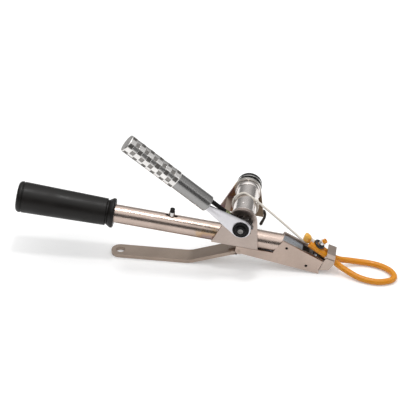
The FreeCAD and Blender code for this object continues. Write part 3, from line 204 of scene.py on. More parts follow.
def carried(path: np.ndarray, stations: np.ndarray, radii: np.ndarray, columns: int,
            up: Triple) -> np.ndarray:
    """A round profile carried along a path.

    The ring's first axis is the product of the up vector and the path's tangent at the station, and its
    second the product of the tangent and the first. A ring point is the station's point plus the radius
    times the two axes by the cosine and the sine of its turn.

    Args:
        path: points of the path, in metres.
        stations: distances along the path, in metres, one for each row; they may run back for a bore.
        radii: radius of each row, or of each row and column, in metres.
        columns: points round the ring.
        up: a direction that the path never takes.

    Returns:
        The grid of points, rows by columns by three.
    """
    steps = np.linalg.norm(np.diff(path, axis=0), axis=1)
    path = path[np.concatenate(([True], steps > POINTS_APART))]
    along = np.concatenate(([0.0], np.cumsum(steps[steps > POINTS_APART])))
    centre = between(stations, along, path)
    tangent = unit(between(stations, along, np.gradient(path, along, axis=0)))
    side = unit(np.cross(np.array(up), tangent))
    top = np.cross(tangent, side)
    turn = FULL_TURN * np.arange(columns) / columns
    ring = np.cos(turn)[None, :, None] * side[:, None, :] + np.sin(turn)[None, :, None] * top[:, None, :]
    return centre[:, None, :] + ring * np.asarray(radii).reshape(len(stations), -1, 1)


def turned(profile: np.ndarray, columns: int) -> np.ndarray:
    """A profile turned about Z: a point is (radius cos turn, radius sin turn, height).

    Args:
        profile: rows of radius and height.
        columns: points round the axis.

    Returns:
        The grid of points, rows by columns by three.
    """
    turn = FULL_TURN * np.arange(columns) / columns
    radius, height = profile[:, :1], profile[:, 1:]
    return np.stack((radius * np.cos(turn), radius * np.sin(turn), height * np.ones(columns)), axis=-1)


def arc(centre: Pair, radius: float, start: float, end: float, count: int) -> np.ndarray:
    """Points on a circle from one angle to another, in degrees."""
    angle = np.radians(np.linspace(start, end, count))
    return np.stack((centre[0] + radius * np.cos(angle), centre[1] + radius * np.sin(angle)), axis=-1)


def rim(radius: float, bore: float, height: float, depth: float, rounding: float) -> np.ndarray:
    """The end of a tube wall: two quarter circles lead over its rounded rim from the outside into the bore.

    Args:
        radius: outer radius.
        bore: bore radius.
        height: height of the rim's top.
        depth: depth of the bore.
        rounding: radius of the rim's rounding.

    Returns:
        Rows of radius and height, from the outside to the bottom of the bore.
    """
    outer = arc((radius - rounding, height - rounding), rounding, 0.0, 90.0, 5)
    inner = arc((bore + rounding, height - rounding), rounding, 90.0, 180.0, 5)
    foot = height - depth
    floor = ((bore, height - depth * 0.5), (bore * 0.98, foot), (bore * 0.3, foot))
    return np.concatenate((outer, inner, floor))


def plate(outline: np.ndarray, near: float, far: float, rounding: float) -> np.ndarray:
    """A flat plate between two planes across Y, whose outline is a closed line with rounded edges.

    Each row is the outline moved inwards by an inset along its own normals, which are the difference of
    the next and the last point turned by a quarter; the inset is nought in between the planes and
    grows to the rounding at each of them.

    Args:
        outline: rows of X and Z, against the clock.
        near: Y of the near plane.
        far: Y of the far plane.
        rounding: rounding of the edges.

    Returns:
        The grid of points, rows by columns by three.
    """
    along = unit(np.roll(outline, -1, axis=0) - np.roll(outline, 1, axis=0))
    inward = np.stack((-along[:, 1], along[:, 0]), axis=-1)
    part = PLATE_BEVEL * rounding
    cap = rounding + PLATE_CAP
    insets = np.array((cap, rounding, part, 0.0, 0.0, part, rounding, cap))
    depths = np.array((near, near, near + part, near + rounding, far - rounding, far - part, far, far))
    rows = outline[None, :, :] + insets[:, None, None] * inward[None, :, :]
    across = np.broadcast_to(depths[:, None], rows.shape[:2])
    return np.stack((rows[..., 0], across, rows[..., 1]), axis=-1)


def evened(corners: np.ndarray, step: float) -> np.ndarray:
    """A closed line with its points spread at an even step, by linear interpolation along its length.

    Args:
        corners: rows of the line's corners.
        step: distance between the new points.

    Returns:
        Rows of the new points.
    """
    closed = np.concatenate((corners, corners[:1]))
    along = np.concatenate(([0.0], np.cumsum(np.linalg.norm(np.diff(closed, axis=0), axis=1))))
    stations = np.linspace(0.0, along[-1], int(along[-1] / step), endpoint=False)
    return between(stations, along, closed)


def smooth_line(name: str, points: np.ndarray) -> np.ndarray:
    """Points read from a smooth NURBS line, as a curve with no bevel gives them.

    Args:
        name: name of the curve.
        points: its control points in the row frame, in metres.

    Returns:
        The points in order, in metres.
    """
    curve = bpy.data.curves.new(name, "CURVE")
    curve.dimensions = "3D"
    curve.resolution_u = LINE_STEPS
    spline = curve.splines.new("NURBS")
    spline.points.add(len(points) - 1)
    spline.points.foreach_set("co", np.pad(points, ((0, 0), (0, 1)), constant_values=1.0).ravel())
    spline.use_endpoint_u = True
    spline.order_u = 3
    probe = bpy.data.objects.new(name, curve)
    mesh = bpy.data.meshes.new_from_object(probe)
    line = np.empty(len(mesh.vertices) * 3)
    mesh.vertices.foreach_get("co", line)
    bpy.data.objects.remove(probe)
    bpy.data.curves.remove(curve)
    bpy.data.meshes.remove(mesh)
    return line.reshape(-1, 3)


def add_piece(name: str, grid: np.ndarray, ends: Ends, body: Body, finish: "Finish",
              node: str | None = None) -> bpy.types.Object:
    """Puts a surface into the scene as a piece of the object.

    Args:
        name: name of the piece.
        grid: its points in the row frame, in metres.
        ends: how the grid's rows end.
        body: the body that it rides on.
        finish: its finish.
        node: the CAD node that it replaces, if any.

    Returns:
        The new object.
    """
    mesh = surface_mesh(name, grid, ends)
    piece = bpy.data.objects.new(name, mesh)
    bpy.context.scene.collection.objects.link(piece)
    mesh.materials.append(finish.material())
    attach(piece, body.value)
    if node:
        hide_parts(node)
    log.info("%s: %d faces, rides on %s", name, len(mesh.polygons), body.value)
    return piece


# Shader nodes
class Wiring:
    """Short ways to add and join shader nodes in one tree."""

    def __init__(self, tree: bpy.types.NodeTree) -> None:
        """Keeps the tree."""
        self.tree = tree

    def add(self, kind: str, inputs: dict[Any, Any] | None = None, **settings: Any) -> bpy.types.Node:
        """A new node.

        Args:
            kind: its Blender name.
            inputs: values or sockets for its inputs, by name or index.
            settings: its own settings.

        Returns:
            The node.
        """
        node = self.tree.nodes.new(kind)
        for key, value in settings.items():
            setattr(node, key, value)
        for key, value in (inputs or {}).items():
            self.give(value, node.inputs[key])
        return node

    def give(self, value: Any, socket: Socket) -> None:
        """Joins a socket to an input, or writes a value or colour there.

        Args:
            value: another node's output, a number, a vector or a colour.
            socket: the input.
        """
        if isinstance(value, bpy.types.NodeSocket):
            self.tree.links.new(value, socket)
        elif socket.type == "RGBA":
            socket.default_value = (*value[:3], 1.0)
        else:
            socket.default_value = value

    def math(self, operation: str, first: Any, second: Any) -> Socket:
        """The result of a Math node."""
        return self.add("ShaderNodeMath", {0: first, 1: second}, operation=operation).outputs[0]

    def vector(self, operation: str, first: Any, second: Any = (0.0, 0.0, 0.0)) -> Socket:
        """The result of a Vector Math node, which is a number for a length or a dot product."""
        node = self.add("ShaderNodeVectorMath", {0: first, 1: second}, operation=operation)
        return node.outputs["Value" if operation in ("LENGTH", "DOT_PRODUCT") else "Vector"]

    def remap(self, value: Any, start: Any, end: Any, low: Any = 0.0, high: Any = 1.0) -> Socket:
        """A value spread from one range over another, held at its ends."""
        spans = {"Value": value, "From Min": start, "From Max": end, "To Min": low, "To Max": high}
        return self.add("ShaderNodeMapRange", spans).outputs["Result"]

    def spread(self, mask: Socket, low: float, high: float) -> Socket:
        """A mask spread from its nought and one over a range."""
        return self.remap(mask, 0.0, 1.0, low, high)

    def mix(self, factor: Any, first: Any, second: Any) -> Socket:
        """A mix of two colours."""
        return self.add("ShaderNodeMix", {0: factor, 6: first, 7: second}, data_type="RGBA").outputs[2]

    def noise(self, place: Any, scale: Any, detail: float) -> Socket:
        """The value of a noise at a place."""
        inputs = {"Vector": place, "Scale": scale, "Detail": detail}
        return self.add("ShaderNodeTexNoise", inputs).outputs["Fac"]

    def ramp(self, factor: Socket, stops: tuple[tuple[float, Triple], ...]) -> Socket:
        """The colour of a Color Ramp.

        Args:
            factor: what it is read by.
            stops: place and colour of each of its stops.

        Returns:
            The colour.
        """
        node = self.add("ShaderNodeValToRGB", {"Fac": factor})
        elements = node.color_ramp.elements
        while len(elements) < len(stops):
            elements.new(0.5)
        for element, (place, color) in zip(elements, stops):
            element.position = place
            element.color = (*color, 1.0)
        return node.outputs["Color"]


class Effect(Wiring):
    """A shader node group with a place, other named inputs and named outputs."""

    def __init__(self, name: str, **inputs: Any) -> None:
        """Makes the group and its inputs.

        Args:
            name: name of the group.
            inputs: default of each input besides the place: a number, a vector of three, a colour of four.
        """
        super().__init__(bpy.data.node_groups.new(name, "ShaderNodeTree"))
        for label, value in {"Place": (0.0, 0.0, 0.0), **inputs}.items():
            kind = Kind.VALUE if isinstance(value, float) else Kind.VECTOR if len(value) == 3 else Kind.RGBA
            socket = self.tree.interface.new_socket(name=label, in_out="INPUT", socket_type=kind.value)
            socket.default_value = value
        self.given = self.add("NodeGroupInput").outputs

    def puts_out(self, **results: Socket) -> "Effect":
        """Makes the group's outputs.

        Args:
            results: the socket that is joined to each output.

        Returns:
            The group.
        """
        for label, result in results.items():
            kind = Kind[result.type].value
            self.tree.interface.new_socket(name=label, in_out="OUTPUT", socket_type=kind)
        self.add("NodeGroupOutput", results)
        return self


@cache
def grain_effect() -> Effect:
    """Fine lengthwise grain: a noise over the place, stretched and turned.

    Returns:
        The group, which puts out the mask.
    """
    effect = Effect("grain", Stretch=(1.0, 1.0, 1.0), Turn=(0.0, 0.0, 0.0))
    given = effect.given
    inputs = {"Vector": given["Place"], "Scale": given["Stretch"], "Rotation": given["Turn"]}
    stretched = effect.add("ShaderNodeMapping", inputs).outputs[0]
    return effect.puts_out(Mask=effect.remap(effect.noise(stretched, 2.0, 3.0), 0.25, 0.75))


@cache
def stain_effect() -> Effect:
    """Soft cloudy patches: a noise of a given fineness, steepened.

    Returns:
        The group, which puts out the mask.
    """
    effect = Effect("stain", Fineness=30.0)
    cloud = effect.noise(effect.given["Place"], effect.given["Fineness"], 5.0)
    return effect.puts_out(Mask=effect.remap(cloud, 0.35, 0.68))


@cache
def edge_effect() -> Effect:
    """Rounded and worn edges.

    The normal is averaged over a small radius, as if the edge had that rounding. Where it differs
    from the surface's own, the mask rises, broken up by a noise.

    Returns:
        The group, which puts out the mask and the rounded normal.
    """
    effect = Effect("worn_edge", Start=0.01, End=0.16)
    given = effect.given
    rounded = effect.add("ShaderNodeBevel", {"Radius": EDGE_RADIUS}, samples=6).outputs[0]
    same = effect.vector("DOT_PRODUCT", rounded, effect.add("ShaderNodeNewGeometry").outputs["Normal"])
    edge = effect.remap(effect.math("SUBTRACT", 1.0, same), given["Start"], given["End"])
    broken = effect.remap(effect.noise(given["Place"], 300.0, 4.0), 0.30, 0.55, 0.45, 1.0)
    return effect.puts_out(Mask=effect.math("MULTIPLY", edge, broken), Normal=rounded)


@cache
def axis_effect() -> Effect:
    """How far a point lies from an axis.

    The place is brought into a frame at the axis by its centre and turn, the axis's own direction is
    multiplied away, and the length of what is left is the distance.

    Returns:
        The group, which puts out the distance.
    """
    effect = Effect("axis_distance", Centre=(0.0, 0.0, 0.0), Turn=(0.0, 0.0, 0.0), Keep=(1.0, 0.0, 1.0))
    given = effect.given
    inputs = {"Vector": given["Place"], "Location": given["Centre"], "Rotation": given["Turn"]}
    local = effect.add("ShaderNodeMapping", inputs, vector_type="TEXTURE").outputs[0]
    return effect.puts_out(Distance=effect.vector("LENGTH", effect.vector("MULTIPLY", local, given["Keep"])))


@cache
def heat_effect() -> Effect:
    """The straw, brown and purple that welding leaves, by the distance from a centre.

    Returns:
        The group, which puts out the tinted colour.
    """
    effect = Effect("heat_tint", Base=(0.5, 0.4, 0.35, 1.0), Centre=(0.0, 0.0, 0.0), Squeeze=(1.0, 1.0, 1.0),
                    Reach=0.02, Amount=0.8)
    given = effect.given
    away = effect.vector("SUBTRACT", given["Place"], given["Centre"])
    away = effect.vector("MULTIPLY", away, given["Squeeze"])
    wobble = effect.remap(effect.noise(given["Place"], 110.0, 4.0), 0.3, 0.7, -0.22, 0.22)
    share = effect.math("ADD", effect.math("DIVIDE", effect.vector("LENGTH", away), given["Reach"]), wobble)
    heat = effect.remap(share, 1.0, 0.0)
    tint = effect.ramp(heat, ((0.0, (0.48, 0.36, 0.22)), (0.3, (0.46, 0.27, 0.09)),
                              (0.55, (0.24, 0.12, 0.07)), (0.75, (0.25, 0.16, 0.19)),
                              (1.0, (0.34, 0.26, 0.22))))
    amount = effect.math("MULTIPLY", effect.remap(heat, 0.0, 0.3), given["Amount"])
    return effect.puts_out(Color=effect.mix(amount, given["Base"], tint))


def shade(color: Triple, gain: float) -> Triple:
    """A colour made lighter or darker, held at white."""
    return tuple(min(1.0, channel * gain) for channel in color)


class Surface(Wiring):
    """The node tree of one material, with its Principled shader."""

    def __init__(self, name: str, color: Triple, metallic: float, roughness: float, gloss: float) -> None:
        """Makes the material.

        Args:
            name: name of the material.
            color: base colour where no pattern is joined.
            metallic: metallic value.
            roughness: roughness where no pattern is joined.
            gloss: specular level.
        """
        self.material = bpy.data.materials.new(name)
        self.material.use_nodes = True
        super().__init__(self.material.node_tree)
        self.shader = self.tree.nodes["Principled BSDF"].inputs
        self.set_plain({"Base Color": color, "Metallic": metallic, "Roughness": roughness,
                        "Specular IOR Level": gloss})
        self.place = self.add("ShaderNodeTexCoord").outputs["Object"]

    def set_plain(self, values: dict[str, Any]) -> None:
        """Writes values that are the same all over the surface on the shader's own sockets."""
        for label, value in values.items():
            self.give(value, self.shader[label])

    def effect(self, effect: Effect, **inputs: Any) -> Any:
        """The outputs of a shared node group placed in this material.

        Args:
            effect: the group.
            inputs: this material's own values for it.

        Returns:
            The group node's outputs, by name.
        """
        node = self.add("ShaderNodeGroup", node_tree=effect.tree)
        for label, value in {"Place": self.place, **inputs}.items():
            self.give(value, node.inputs[label])
        return node.outputs

    def mask(self, effect: Effect, **inputs: Any) -> Socket:
        """The mask of a shared node group."""
        return self.effect(effect, **inputs)["Mask"]

    def threads(self, stretch: Triple) -> Socket:
        """The mask of a grain that follows the surface's own map of column and row."""
        lie = self.add("ShaderNodeUVMap", uv_map="surface").outputs[0]
        return self.mask(grain_effect(), Place=lie, Stretch=stretch)

    def dress(self, color: Socket, roughness: Any, height: Socket, relief: float,
              normal: Socket | None = None) -> bpy.types.Material:
        """Joins the patterns to the shader.

        Args:
            color: the base colour.
            roughness: the roughness.
            height: the height of the bump.
            relief: strength of the bump.
            normal: the normal under the bump, if it isn't the surface's own.

        Returns:
            The material.
        """
        self.give(color, self.shader["Base Color"])
        self.give(roughness, self.shader["Roughness"])
        bump = self.add("ShaderNodeBump", {"Height": height, "Strength": relief, "Distance": BUMP_DEPTH})
        if normal is not None:
            self.give(normal, bump.inputs["Normal"])
        self.give(bump.outputs[0], self.shader["Normal"])
        return self.material


# Finishes
@dataclass(frozen=True)
class HeatZone:
    """A patch of weld colours on steel: its centre and reach in millimetres."""

    centre: Triple
    reach: float
    squeeze: Triple
    amount: float

    def tint(self, surface: Surface, color: Socket) -> Socket:
        """Lays the patch over a colour.

        Args:
            surface: the material that it is for.
            color: the colour so far.

        Returns:
            The colour with the patch on it.
        """
        centre = tuple(value * MM for value in self.centre)
        return surface.effect(heat_effect(), Base=color, Centre=centre, Squeeze=self.squeeze,
                              Reach=self.reach * MM, Amount=self.amount)["Color"]


@dataclass(frozen=True)
class AxisZone:
    """A colour near an axis: full inside the start, gone outside the end, in millimetres from the axis."""

    frame: LocalFrame
    keep: Triple
    start: float
    end: float
    color: Triple

    def mask(self, surface: Surface) -> Socket:
        """One inside the start and nought outside the end.

        Args:
            surface: the material that it is for.

        Returns:
            The mask.
        """
        centre = tuple(value * MM for value in self.frame.origin)
        turn = (0.0, self.frame.angle, 0.0)
        distance = surface.effect(axis_effect(), Centre=centre, Turn=turn, Keep=self.keep)["Distance"]
        return surface.remap(distance, self.start * MM, self.end * MM, 1.0, 0.0)

    def tint(self, surface: Surface, color: Socket) -> Socket:
        """The colour with the zone's own near the axis."""
        return surface.mix(self.mask(surface), color, self.color)


@dataclass(frozen=True)
class Finish:
    """A finish, whose material is made once.

    Stains of a given fineness take the colour from its clean share to its stained one, the roughness
    swings between two shares of its own, the relief is the strength of the bump, and the pebble is the
    fineness and the detail of its noise.
    """

    name: str
    color: Triple
    roughness: float
    metallic: float = 0.0
    gloss: float = 0.5
    fineness: float = 45.0
    clean: float = 1.0
    stain: float = 1.7
    swing: Pair = (0.85, 1.2)
    relief: float = 0.25
    pebble: Pair = (900.0, 2.0)

    def material(self) -> bpy.types.Material:
        """The material of this finish, the same each time."""
        return finished(self)

    def build(self) -> bpy.types.Material:
        """Makes the material."""
        raise NotImplementedError

    def surface(self) -> Surface:
        """A new material with the plain values of this finish."""
        return Surface(self.name, self.color, self.metallic, self.roughness, self.gloss)

    def stained(self, surface: Surface) -> tuple[Socket, Socket]:
        """The stains' mask, and the colour with them on it."""
        mask = surface.mask(stain_effect(), Fineness=self.fineness)
        return mask, surface.mix(mask, shade(self.color, self.clean), shade(self.color, self.stain))

    def swung(self, surface: Surface, mask: Socket) -> Socket:
        """The roughness, moved between its two ends by a mask."""
        return surface.spread(mask, *(self.roughness * share for share in self.swing))


@cache
def finished(finish: Finish) -> bpy.types.Material:
    """The one material of a finish."""
    return finish.build()


@dataclass(frozen=True)
class Metal(Finish):
    """Metal with zones of other colours and with worn edges.

    The wear says how far the rounded normal departs from the surface's own where an edge begins to
    show, and where it shows in full.
    """

    metallic: float = 1.0
    zones: tuple[HeatZone | AxisZone, ...] = ()
    edge: float = 1.3
    wear: Pair = (0.01, 0.16)

    def edge_color(self) -> Triple:
        """The colour of a worn edge."""
        return shade(self.color, self.edge)

    def worn(self, surface: Surface, color: Socket, roughness: Socket, height: Socket) -> bpy.types.Material:
        """Puts the zones and then the worn edges over the colour, and joins all to the shader.

        Args:
            surface: the material that it is for.
            color: the colour so far.
            roughness: the roughness.
            height: the height of the bump, over the rounded edges' normal.

        Returns:
            The material.
        """
        for zone in self.zones:
            color = zone.tint(surface, color)
        edge = surface.effect(edge_effect(), Start=self.wear[0], End=self.wear[1])
        color = surface.mix(edge["Mask"], color, self.edge_color())
        return surface.dress(color, roughness, height, self.relief, edge["Normal"])


@dataclass(frozen=True)
class SatinSteel(Metal):
    """Tumbled steel with a fine grain along its length, faint stains and small dark specks."""

    fineness: float = 34.0
    clean: float = 1.04
    stain: float = 0.90
    swing: Pair = (0.8, 1.25)
    relief: float = 0.16
    edge: float = 1.5
    stretch: Triple = (90.0, 700.0, 700.0)
    turn: float = 6.5
    speck_fineness: float = 420.0
    speck: float = 0.72
    speck_amount: float = 0.22

    def build(self) -> bpy.types.Material:
        """Stains and specks darken the colour, and the grain moves roughness and height.

        Returns:
            The material.
        """
        surface = self.surface()
        grain = surface.mask(grain_effect(), Stretch=self.stretch, Turn=(0.0, math.radians(self.turn), 0.0))
        specks = surface.mask(stain_effect(), Fineness=self.speck_fineness)
        specks = surface.spread(specks, 0.0, self.speck_amount)
        color = surface.mix(specks, self.stained(surface)[1], shade(self.color, self.speck))
        return self.worn(surface, color, self.swung(surface, grain), grain)


@dataclass(frozen=True)
class TurnedSteel(Metal):
    """Bright turned or ground steel with fine marks and faint smears."""

    stain: float = 0.86
    swing: Pair = (0.75, 1.3)
    relief: float = 0.05
    mark: float = 500.0

    def build(self) -> bpy.types.Material:
        """Marks move the roughness and a slight height, and smears dull the colour.

        Returns:
            The material.
        """
        surface = self.surface()
        marks = surface.mask(grain_effect(), Stretch=(self.mark, self.mark, self.mark))
        return self.worn(surface, self.stained(surface)[1], self.swung(surface, marks), marks)


@dataclass(frozen=True)
class KnurledSteel(Metal):
    """Bright steel whose recesses are dull and take a dark painted shade: their floors lie nearer to the
    lever's axis.
    """

    fineness: float = 70.0
    stain: float = 0.88
    relief: float = 0.06
    # The recess floors' dark colour is painted shade.
    floor: AxisZone = AxisZone(LEVER, (0.0, 1.0, 1.0), 11.7, 12.2, (0.20, 0.19, 0.18))
    floor_stain: float = 1.5
    floor_roughness: float = 0.38

    def build(self) -> bpy.types.Material:
        """The distance from the lever's axis parts floors from lands, the floors take a dark painted shade,
        and a smear varies both.

        Returns:
            The material.
        """
        surface = self.surface()
        floor = self.floor.mask(surface)
        smear, bright = self.stained(surface)
        # painted shade on the recess floors, varied by the smear
        dark = surface.mix(smear, self.floor.color, shade(self.floor.color, self.floor_stain))
        roughness = surface.spread(floor, self.roughness, self.floor_roughness)
        height = surface.noise(surface.place, *self.pebble)
        return self.worn(surface, surface.mix(floor, bright, dark), roughness, height)


@dataclass(frozen=True)
class BlackSteel(Metal):
    """Blackened or painted steel, worn to grey on its edges."""

    gloss: float = 0.25
    fineness: float = 60.0
    stain: float = 1.8
    swing: Pair = (0.8, 1.3)
    relief: float = 0.10
    pebble: Pair = (700.0, 3.0)
    wear: Pair = (0.03, 0.30)
    wear_and_glint_color: Triple = (0.16, 0.155, 0.15)

    def edge_color(self) -> Triple:
        """The colour of worn edges, where the steel shows under the finish; on the ratchet wheel it is
        lighter and is also a painted highlight, the glints on its teeth.
        """
        return self.wear_and_glint_color

    def build(self) -> bpy.types.Material:
        """Oil patches lift the colour a little and the roughness a lot.

        Returns:
            The material.
        """
        surface = self.surface()
        patch, color = self.stained(surface)
        pebble = surface.noise(surface.place, *self.pebble)
        return self.worn(surface, color, self.swung(surface, patch), pebble)


@dataclass(frozen=True)
class MouldedRubber(Finish):
    """Moulded rubber with a fine pebble and dull scuffs."""

    def build(self) -> bpy.types.Material:
        """Scuffs lighten the colour and dull the shine, and the pebble is a fine height.

        Returns:
            The material.
        """
        surface = self.surface()
        scuff, color = self.stained(surface)
        pebble = surface.noise(surface.place, *self.pebble)
        return surface.dress(color, self.swung(surface, scuff), pebble, self.relief)


@dataclass(frozen=True)
class AmberLatex(Finish):
    """Amber tubing: slightly see-through, with faint lengthwise streaks, dust and a soft shine."""

    roughness: float = 0.34
    gloss: float = 0.25
    fineness: float = 70.0
    swing: Pair = (14.0 / 17.0, 22.0 / 17.0)
    relief: float = 0.12
    deep: Triple = (0.61, 0.215, 0.006)
    streaks: Triple = (26.0, 9.0, 1.0)
    streak_amount: float = 0.8
    talc_amount: float = 0.07
    talc_keep: float = 0.8
    talc_lift: float = 0.18

    def build(self) -> bpy.types.Material:
        """Streaks follow the surface's own map, lengthwise, and clouds of talc lighten it.

        Returns:
            The material.
        """
        surface = self.surface()
        streak = surface.threads(self.streaks)
        cloud = surface.mask(stain_effect(), Fineness=self.fineness)
        tone = surface.mix(surface.spread(streak, 0.0, self.streak_amount), self.color, self.deep)
        dusty = tuple(channel * self.talc_keep + self.talc_lift for channel in self.color)
        color = surface.mix(surface.spread(cloud, 0.0, self.talc_amount), tone, dusty)
        surface.set_plain({"Subsurface Weight": 0.18, "Subsurface Radius": (0.9, 0.35, 0.08),
                           "Subsurface Scale": 0.002, "Coat Weight": 0.2, "Coat Roughness": 0.2})
        return surface.dress(color, self.swung(surface, cloud), streak, self.relief)


@dataclass(frozen=True)
class BraidedYarn(Finish):
    """White braided yarn: pale threads, with painted shade in the gaps between them, and dirt of the same
    colour.
    """

    roughness: float = 0.85
    fineness: float = 55.0
    relief: float = 0.2
    gap_shade_and_dirt: Triple = (0.55, 0.50, 0.43)
    threads: Triple = (30.0, 160.0, 1.0)
    gap_shade_amount: float = 0.5
    dirt_amount: float = 0.25

    def build(self) -> bpy.types.Material:
        """Fine threads run across the strands of the braid, on the surface's own map; the gaps between them
        take a painted shade, and dirt darkens towards the same colour.

        Returns:
            The material.
        """
        surface = self.surface()
        fibre = surface.threads(self.threads)
        dirt = surface.mask(stain_effect(), Fineness=self.fineness)
        # painted shade in the gaps between the threads
        color = surface.mix(surface.spread(fibre, 0.0, self.gap_shade_amount), self.color, self.gap_shade_and_dirt)
        # dirt, towards the same colour as the painted gap shade
        color = surface.mix(surface.spread(dirt, 0.0, self.dirt_amount), color, self.gap_shade_and_dirt)
        surface.set_plain({"Sheen Weight": 0.3})
        return surface.dress(color, self.roughness, fibre, self.relief)


TUBE_STEEL = SatinSteel("tube_steel", (0.53, 0.425, 0.37), 0.24, stretch=(30.0, 600.0, 600.0), zones=(
    HeatZone((122.0, -12.0, 41.0), 24.0, (1.0, 0.6, 1.3), 0.55),))
HEAD_STEEL = SatinSteel("head_steel", (0.48, 0.38, 0.325), 0.36)
BLOCK_STEEL = SatinSteel("block_steel", (0.45, 0.37, 0.32), 0.34)
BAR_STEEL = SatinSteel("bar_steel", (0.40, 0.32, 0.265), 0.34, turn=0.0)
NEAR_PLATE_STEEL = SatinSteel("near_plate_steel", (0.45, 0.375, 0.335), 0.36, zones=(
    HeatZone((127.0, -17.0, 35.0), 9.0, (1.0, 1.0, 1.0), 0.5),))
# The light colour near the spool's axis on the far plate is a painted highlight: the bright crescent of its
# head beside the drum.
FAR_PLATE_STEEL = SatinSteel("far_plate_steel", (0.25, 0.19, 0.135), 0.34, edge=2.2, zones=(
    HeatZone((136.0, 63.0, 60.0), 40.0, (1.3, 1.0, 0.75), 0.85),
    AxisZone(SPOOL, (1.0, 0.0, 1.0), 18.6, 19.4, (0.60, 0.58, 0.55))))
BLUE_STEEL = SatinSteel("blue_steel", (0.64, 0.68, 0.74), 0.30)
ARM_STEEL = SatinSteel("arm_steel", (0.66, 0.65, 0.675), 0.36, turn=38.0, stain=0.95)
KNURL_STEEL = KnurledSteel("knurl_steel", (0.82, 0.80, 0.78), 0.22)
BRIGHT_STEEL = TurnedSteel("bright_steel", (0.78, 0.73, 0.70), 0.17)
MIRROR_STEEL = TurnedSteel("mirror_steel", (0.62, 0.61, 0.60), 0.12)
SLEEVE_STEEL = TurnedSteel("sleeve_steel", (0.33, 0.325, 0.32), 0.26)
FERRULE_STEEL = TurnedSteel("ferrule_steel", (0.88, 0.88, 0.87), 0.30)
GRIP_RUBBER = MouldedRubber("grip_rubber", (0.0045, 0.0036, 0.0030), 0.42, gloss=0.28)
RING_RUBBER = MouldedRubber("ring_rubber", (0.008, 0.008, 0.008), 0.20, relief=0.06)
OXIDE = BlackSteel("oxide_steel", (0.022, 0.017, 0.014), 0.30, 0.5)
# The wheel's light edge colour is partly wear and partly a painted highlight for the glints on its teeth.
WHEEL_STEEL = BlackSteel("wheel_steel", (0.035, 0.032, 0.03), 0.24, wear_and_glint_color=(0.42, 0.39, 0.36))
BLACK = BlackSteel("black_finish", (0.004, 0.004, 0.004), 0.22, 0.0, 0.14)
SOCKET_BLACK = BlackSteel("socket_black", (0.004, 0.004, 0.004), 0.24, 0.0, 0.14, zones=(
    AxisZone(SPOOL, (1.0, 0.0, 1.0), 3.3, 3.7, (0.50, 0.49, 0.48)),))
OLIVE_BRASS = BlackSteel("olive_brass", (0.13, 0.14, 0.07), 0.34, 0.8)
AMBER = AmberLatex("amber_latex", (0.77, 0.305, 0.010))
AMBER_KNOT = AmberLatex("amber_knot", (0.84, 0.46, 0.07), deep=(0.68, 0.34, 0.035))
YARN = BraidedYarn("braided_yarn", (0.86, 0.81, 0.74))


class MachinedParts:
    """The CAD's own parts, each of which takes its finish."""

    def finishes(self) -> dict[Finish, tuple[str, ...]]:
        """The CAD nodes that each finish goes on.

        Returns:
            The nodes' names by finish.
        """
        return {
            TUBE_STEEL: ("main_tube",),
            HEAD_STEEL: ("head_channel",),
            BLOCK_STEEL: ("front_block",),
            BAR_STEEL: ("squeeze_lever", "lever_pivot_pin", "bracket_cross_bar", "lever_cam"),
            NEAR_PLATE_STEEL: ("bracket_near_plate",),
            FAR_PLATE_STEEL: ("bracket_far_plate",),
            BLUE_STEEL: ("head_plug", "push_bar", "cam_roller", "roller_pin", "crimp_die"),
            KNURL_STEEL: ("knurled_grip",),
            BRIGHT_STEEL: ("crimp_clip", "near_bush", "far_bush", "spool_shaft"),
            MIRROR_STEEL: ("wheel_spacer", "outer_spacer", "spool_washer", "indicator_pin", "cutter_blade"),
            SLEEVE_STEEL: ("handle_sleeve",),
            RING_RUBBER: ("band_ring",),
            OXIDE: ("hold_pawl", "hold_pawl_screw"),
            WHEEL_STEEL: ("ratchet_wheel",),
            BLACK: ("hold_ratchet", "spool_cap", "indicator_cap", "pawl_plunger", "pivot_washer", "head_pin",
                    "block_pin_near", "block_pin_far", "indicator_slider"),
            SOCKET_BLACK: ("pivot_bolt",),
        }

    def build(self) -> None:
        """Puts each finish on its nodes' material slots."""
        for finish, names in self.finishes().items():
            for name in names:
                node = frame["nodes"][name]
                if not node.material_slots:
                    node.data.materials.append(finish.material())
                for place in node.material_slots:
                    place.material = finish.material()
                log.info("%s wears %s", name, finish.material().name)


